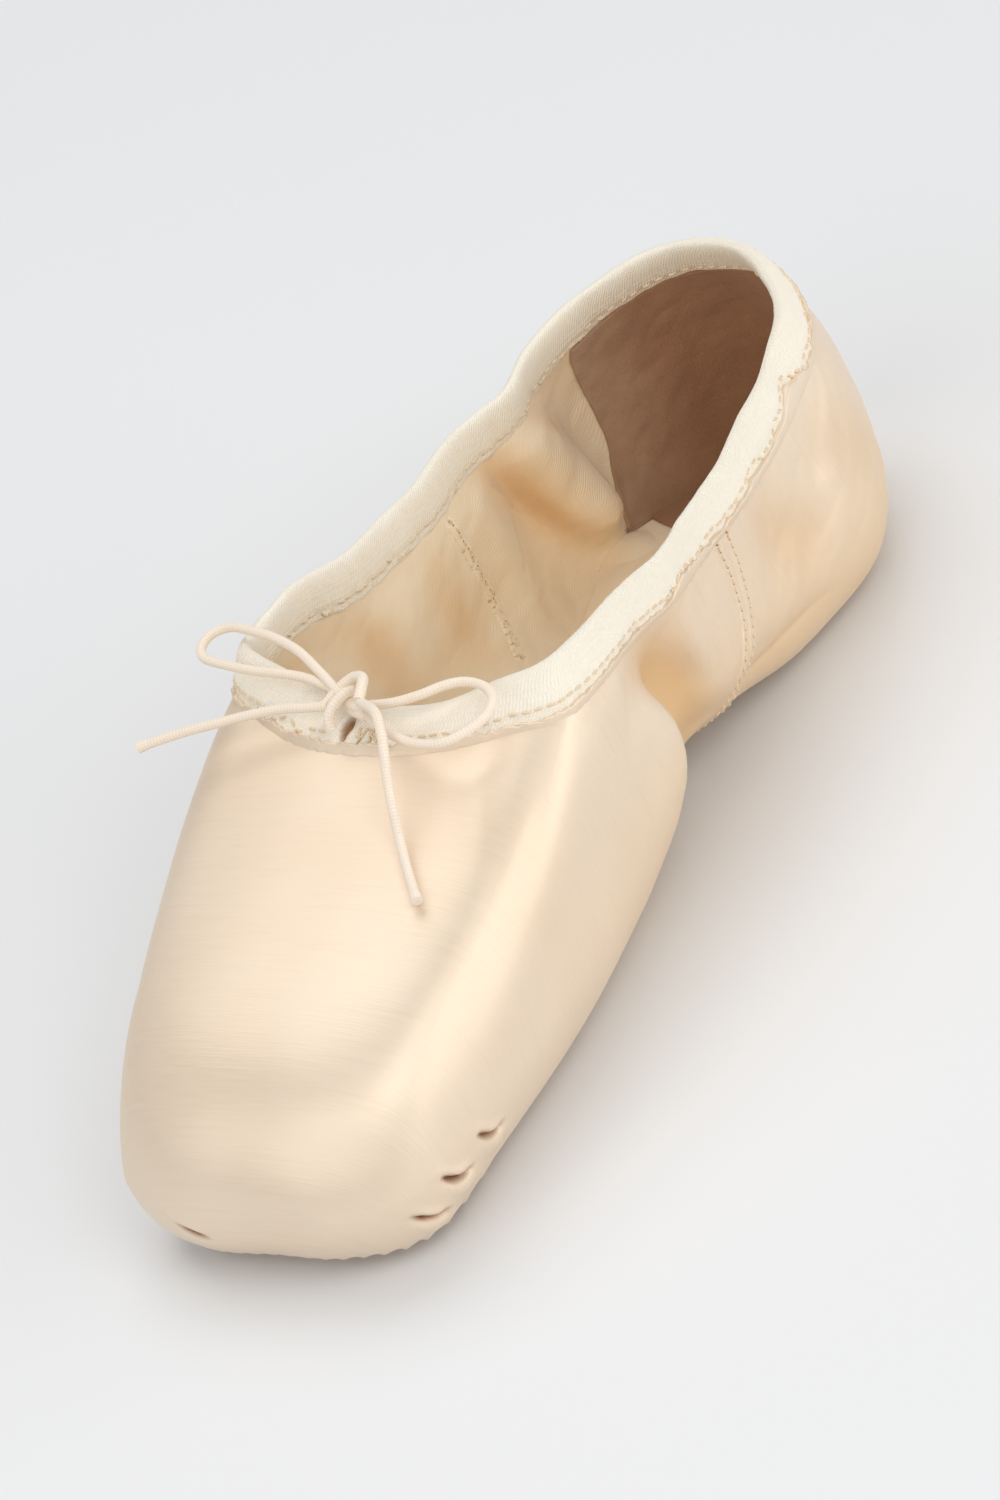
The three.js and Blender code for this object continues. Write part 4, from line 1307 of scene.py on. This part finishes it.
def sole_leather(name, light, dark):
    hide = Finish(name)
    place = hide.place()
    mottle = hide.noise(place, 70.0, 4.0, 0.6)
    grain = hide.noise(place, 1400.0, 3.0)
    rubbed = hide.noise(place, 28.0, 2.0)
    scratch = hide.noise(hide.stretched(place, 500, 60, 60), 1.0, 2.0)
    shade = hide.blend(mottle.between(0.3, 0.7), dark, light)
    shade = hide.blend(rubbed.between(0.55, 0.8) * 0.4, shade, (0.33, 0.17, 0.09, 1))
    shade = hide.blend(grain.between(0.5, 0.9) * 0.25, shade, (0.66, 0.44, 0.29, 1))
    shade = hide.blend(scratch.between(0.62, 0.75) * 0.3, shade, (0.68, 0.47, 0.32, 1))
    shade = hide.blend(hide.mark("groove") * 0.75, shade, (0.20, 0.09, 0.045, 1))
    pores = hide.relief(grain * 0.6 + mottle * 0.4, 0.00006, 0.6)
    return hide.wear(Base_Color=shade, Roughness=0.5 + 0.15 * mottle, Normal=pores)


leather = sole_leather("sole_leather", (0.52, 0.30, 0.175, 1), (0.42, 0.225, 0.125, 1))
cut_leather = sole_leather("cut_leather", (0.72, 0.50, 0.32, 1), (0.60, 0.39, 0.23, 1))

# Each sole's outline, which way its grooves bow, where the double grooves lie, how far they sweep back at
# the sides, between which places they fade out, and where its nails are: x, y.
sole_plan = {
    "outsole_forefoot": (forefoot_outline, 1, [0.0900, 0.0815, 0.0730, 0.0650, 0.0575], 0.0125,
                         (0.020, 0.052),
                         [(0.012, 0.0025), (0.0165, -0.0045), (0.0225, 0.0050), (0.0700, 0.0),
                          (0.0790, 0.0006)]),
    "outsole_heel": (heel_outline, -1, [-0.0990, -0.0920, -0.0850, -0.0780, -0.0715], 0.0080,
                     (-0.050, -0.066), [(-0.056, 0.003), (-0.060, -0.004), (-0.088, 0.0)]),
}
# The section of one double groove: millimetres from its middle, and what share of the depth is cut.
cut = [(-2.1, 0.0), (-1.75, 0.3), (-1.5, 1.0), (-1.25, 0.3), (-0.9, 0.0),
       (0.9, 0.0), (1.25, 0.3), (1.5, 1.0), (1.75, 0.3), (2.1, 0.0)]
sole_columns, rim_share, groove_clear, grows_over, edge_band = 48, 0.04, 0.0009, 0.0075, 0.004
for sole_name, (table, heading, pairs, sweep, fades, nails) in sole_plan.items():
    outline = [(float(x), float(max(y, 0.0)))
               for x, y, _ in smooth_line([(x, y, 0.0) for x, y in table], 90)]
    outline.sort(key=lambda row: -row[0])
    front, rear = outline[0][0], outline[-1][0]
    rows = [(pair + a * mm, share) for pair in pairs for a, share in cut]
    grooved = [x for x, _ in rows]
    even = np.linspace(0, 1, 40) ** (1.6 if heading > 0 else 1 / 1.6)
    by_edge = np.linspace(0, 1, 12) ** 2 * edge_band
    others = np.concatenate([rear + even * (front - rear), front - by_edge, rear + by_edge])
    rows += [(x, 0.0) for x in others if min(abs(x - g) for g in grooved) > groove_clear]
    rows.sort()
    base = np.array([x for x, _ in rows])
    grown = ramp(front - base, 0, grows_over) if heading > 0 else ramp(base - rear, 0, grows_over)
    grown = grown * ramp(base, *fades)
    grown = grown * grown * (3 - 2 * grown)
    points, flat, marks = [], [], []
    for (start_x, share), grow in zip(rows, grown):
        for part in np.linspace(-1, 1, sole_columns + 1):
            y = part * half_width(start_x, outline)
            for _ in range(4):
                bend = 1 - math.exp(-((y / 0.0085) ** 2)) + 0.10 * math.sin(abs(y) * 420)
                x = min(max(start_x - heading * sweep * grow * bend, rear), front)
                y = part * half_width(x, outline)
            mark = share * grow * min(1.0, (1 - abs(part)) / rim_share)
            points.append((x, y, bottom_height(x) - sole_clear - sole_thick + groove_deep * mark))
            flat.append((x, y))
            marks.append(mark)
    sole = grid(sole_name + "_leather", sole_columns, len(rows) - 1)
    lay(sole, points, flat)
    keep(sole, "groove", marks)
    edit(sole, sew_up)
    solidify(sole, sole_thick, rim=1)
    sole.data.materials.append(leather)
    sole.data.materials.append(cut_leather)
    smooth(sole, 40)
    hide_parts(sole_name)
    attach(sole, "root")
    sole_surface = surface_of(sole)
    below = 0.003
    if heading < 0:
        # A ring of stitches runs round the heel, 2.1 mm inside its edge.
        inside, heel_middle, heel_half = 0.0021, -0.074, 0.031
        ring = [(x - inside * (x - heel_middle) / heel_half, y - inside * min(1.0, y / 0.012),
                 float(bottom_height(x)) - below) for x, y in outline if y > 0.0025]
        ring += [(x, -y, z) for x, y, z in ring[::-1]]
        sew("heel_ring", sole_surface, ring, pitch=0.0026, long=0.0016, wide=0.0004, lift=-0.00016)
    # Each nail is a small dark dot sunk into the sole, in the same dark finish as the painted shade of each
    # needle hole.
    nail_wide, nail_lift = 0.0009, -0.00032
    for number, (x, y) in enumerate(nails):
        spot = [(x - 0.0004 + 0.0002 * k, y, float(bottom_height(x)) - below) for k in range(5)]
        nail_name = "%s_nail_%d" % (sole_name, number)
        nail = stitch_row(nail_name, sole_surface, spot, 0.0008, nail_wide, nail_wide, hole_shade_finish, nail_lift)
        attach(nail, "root")
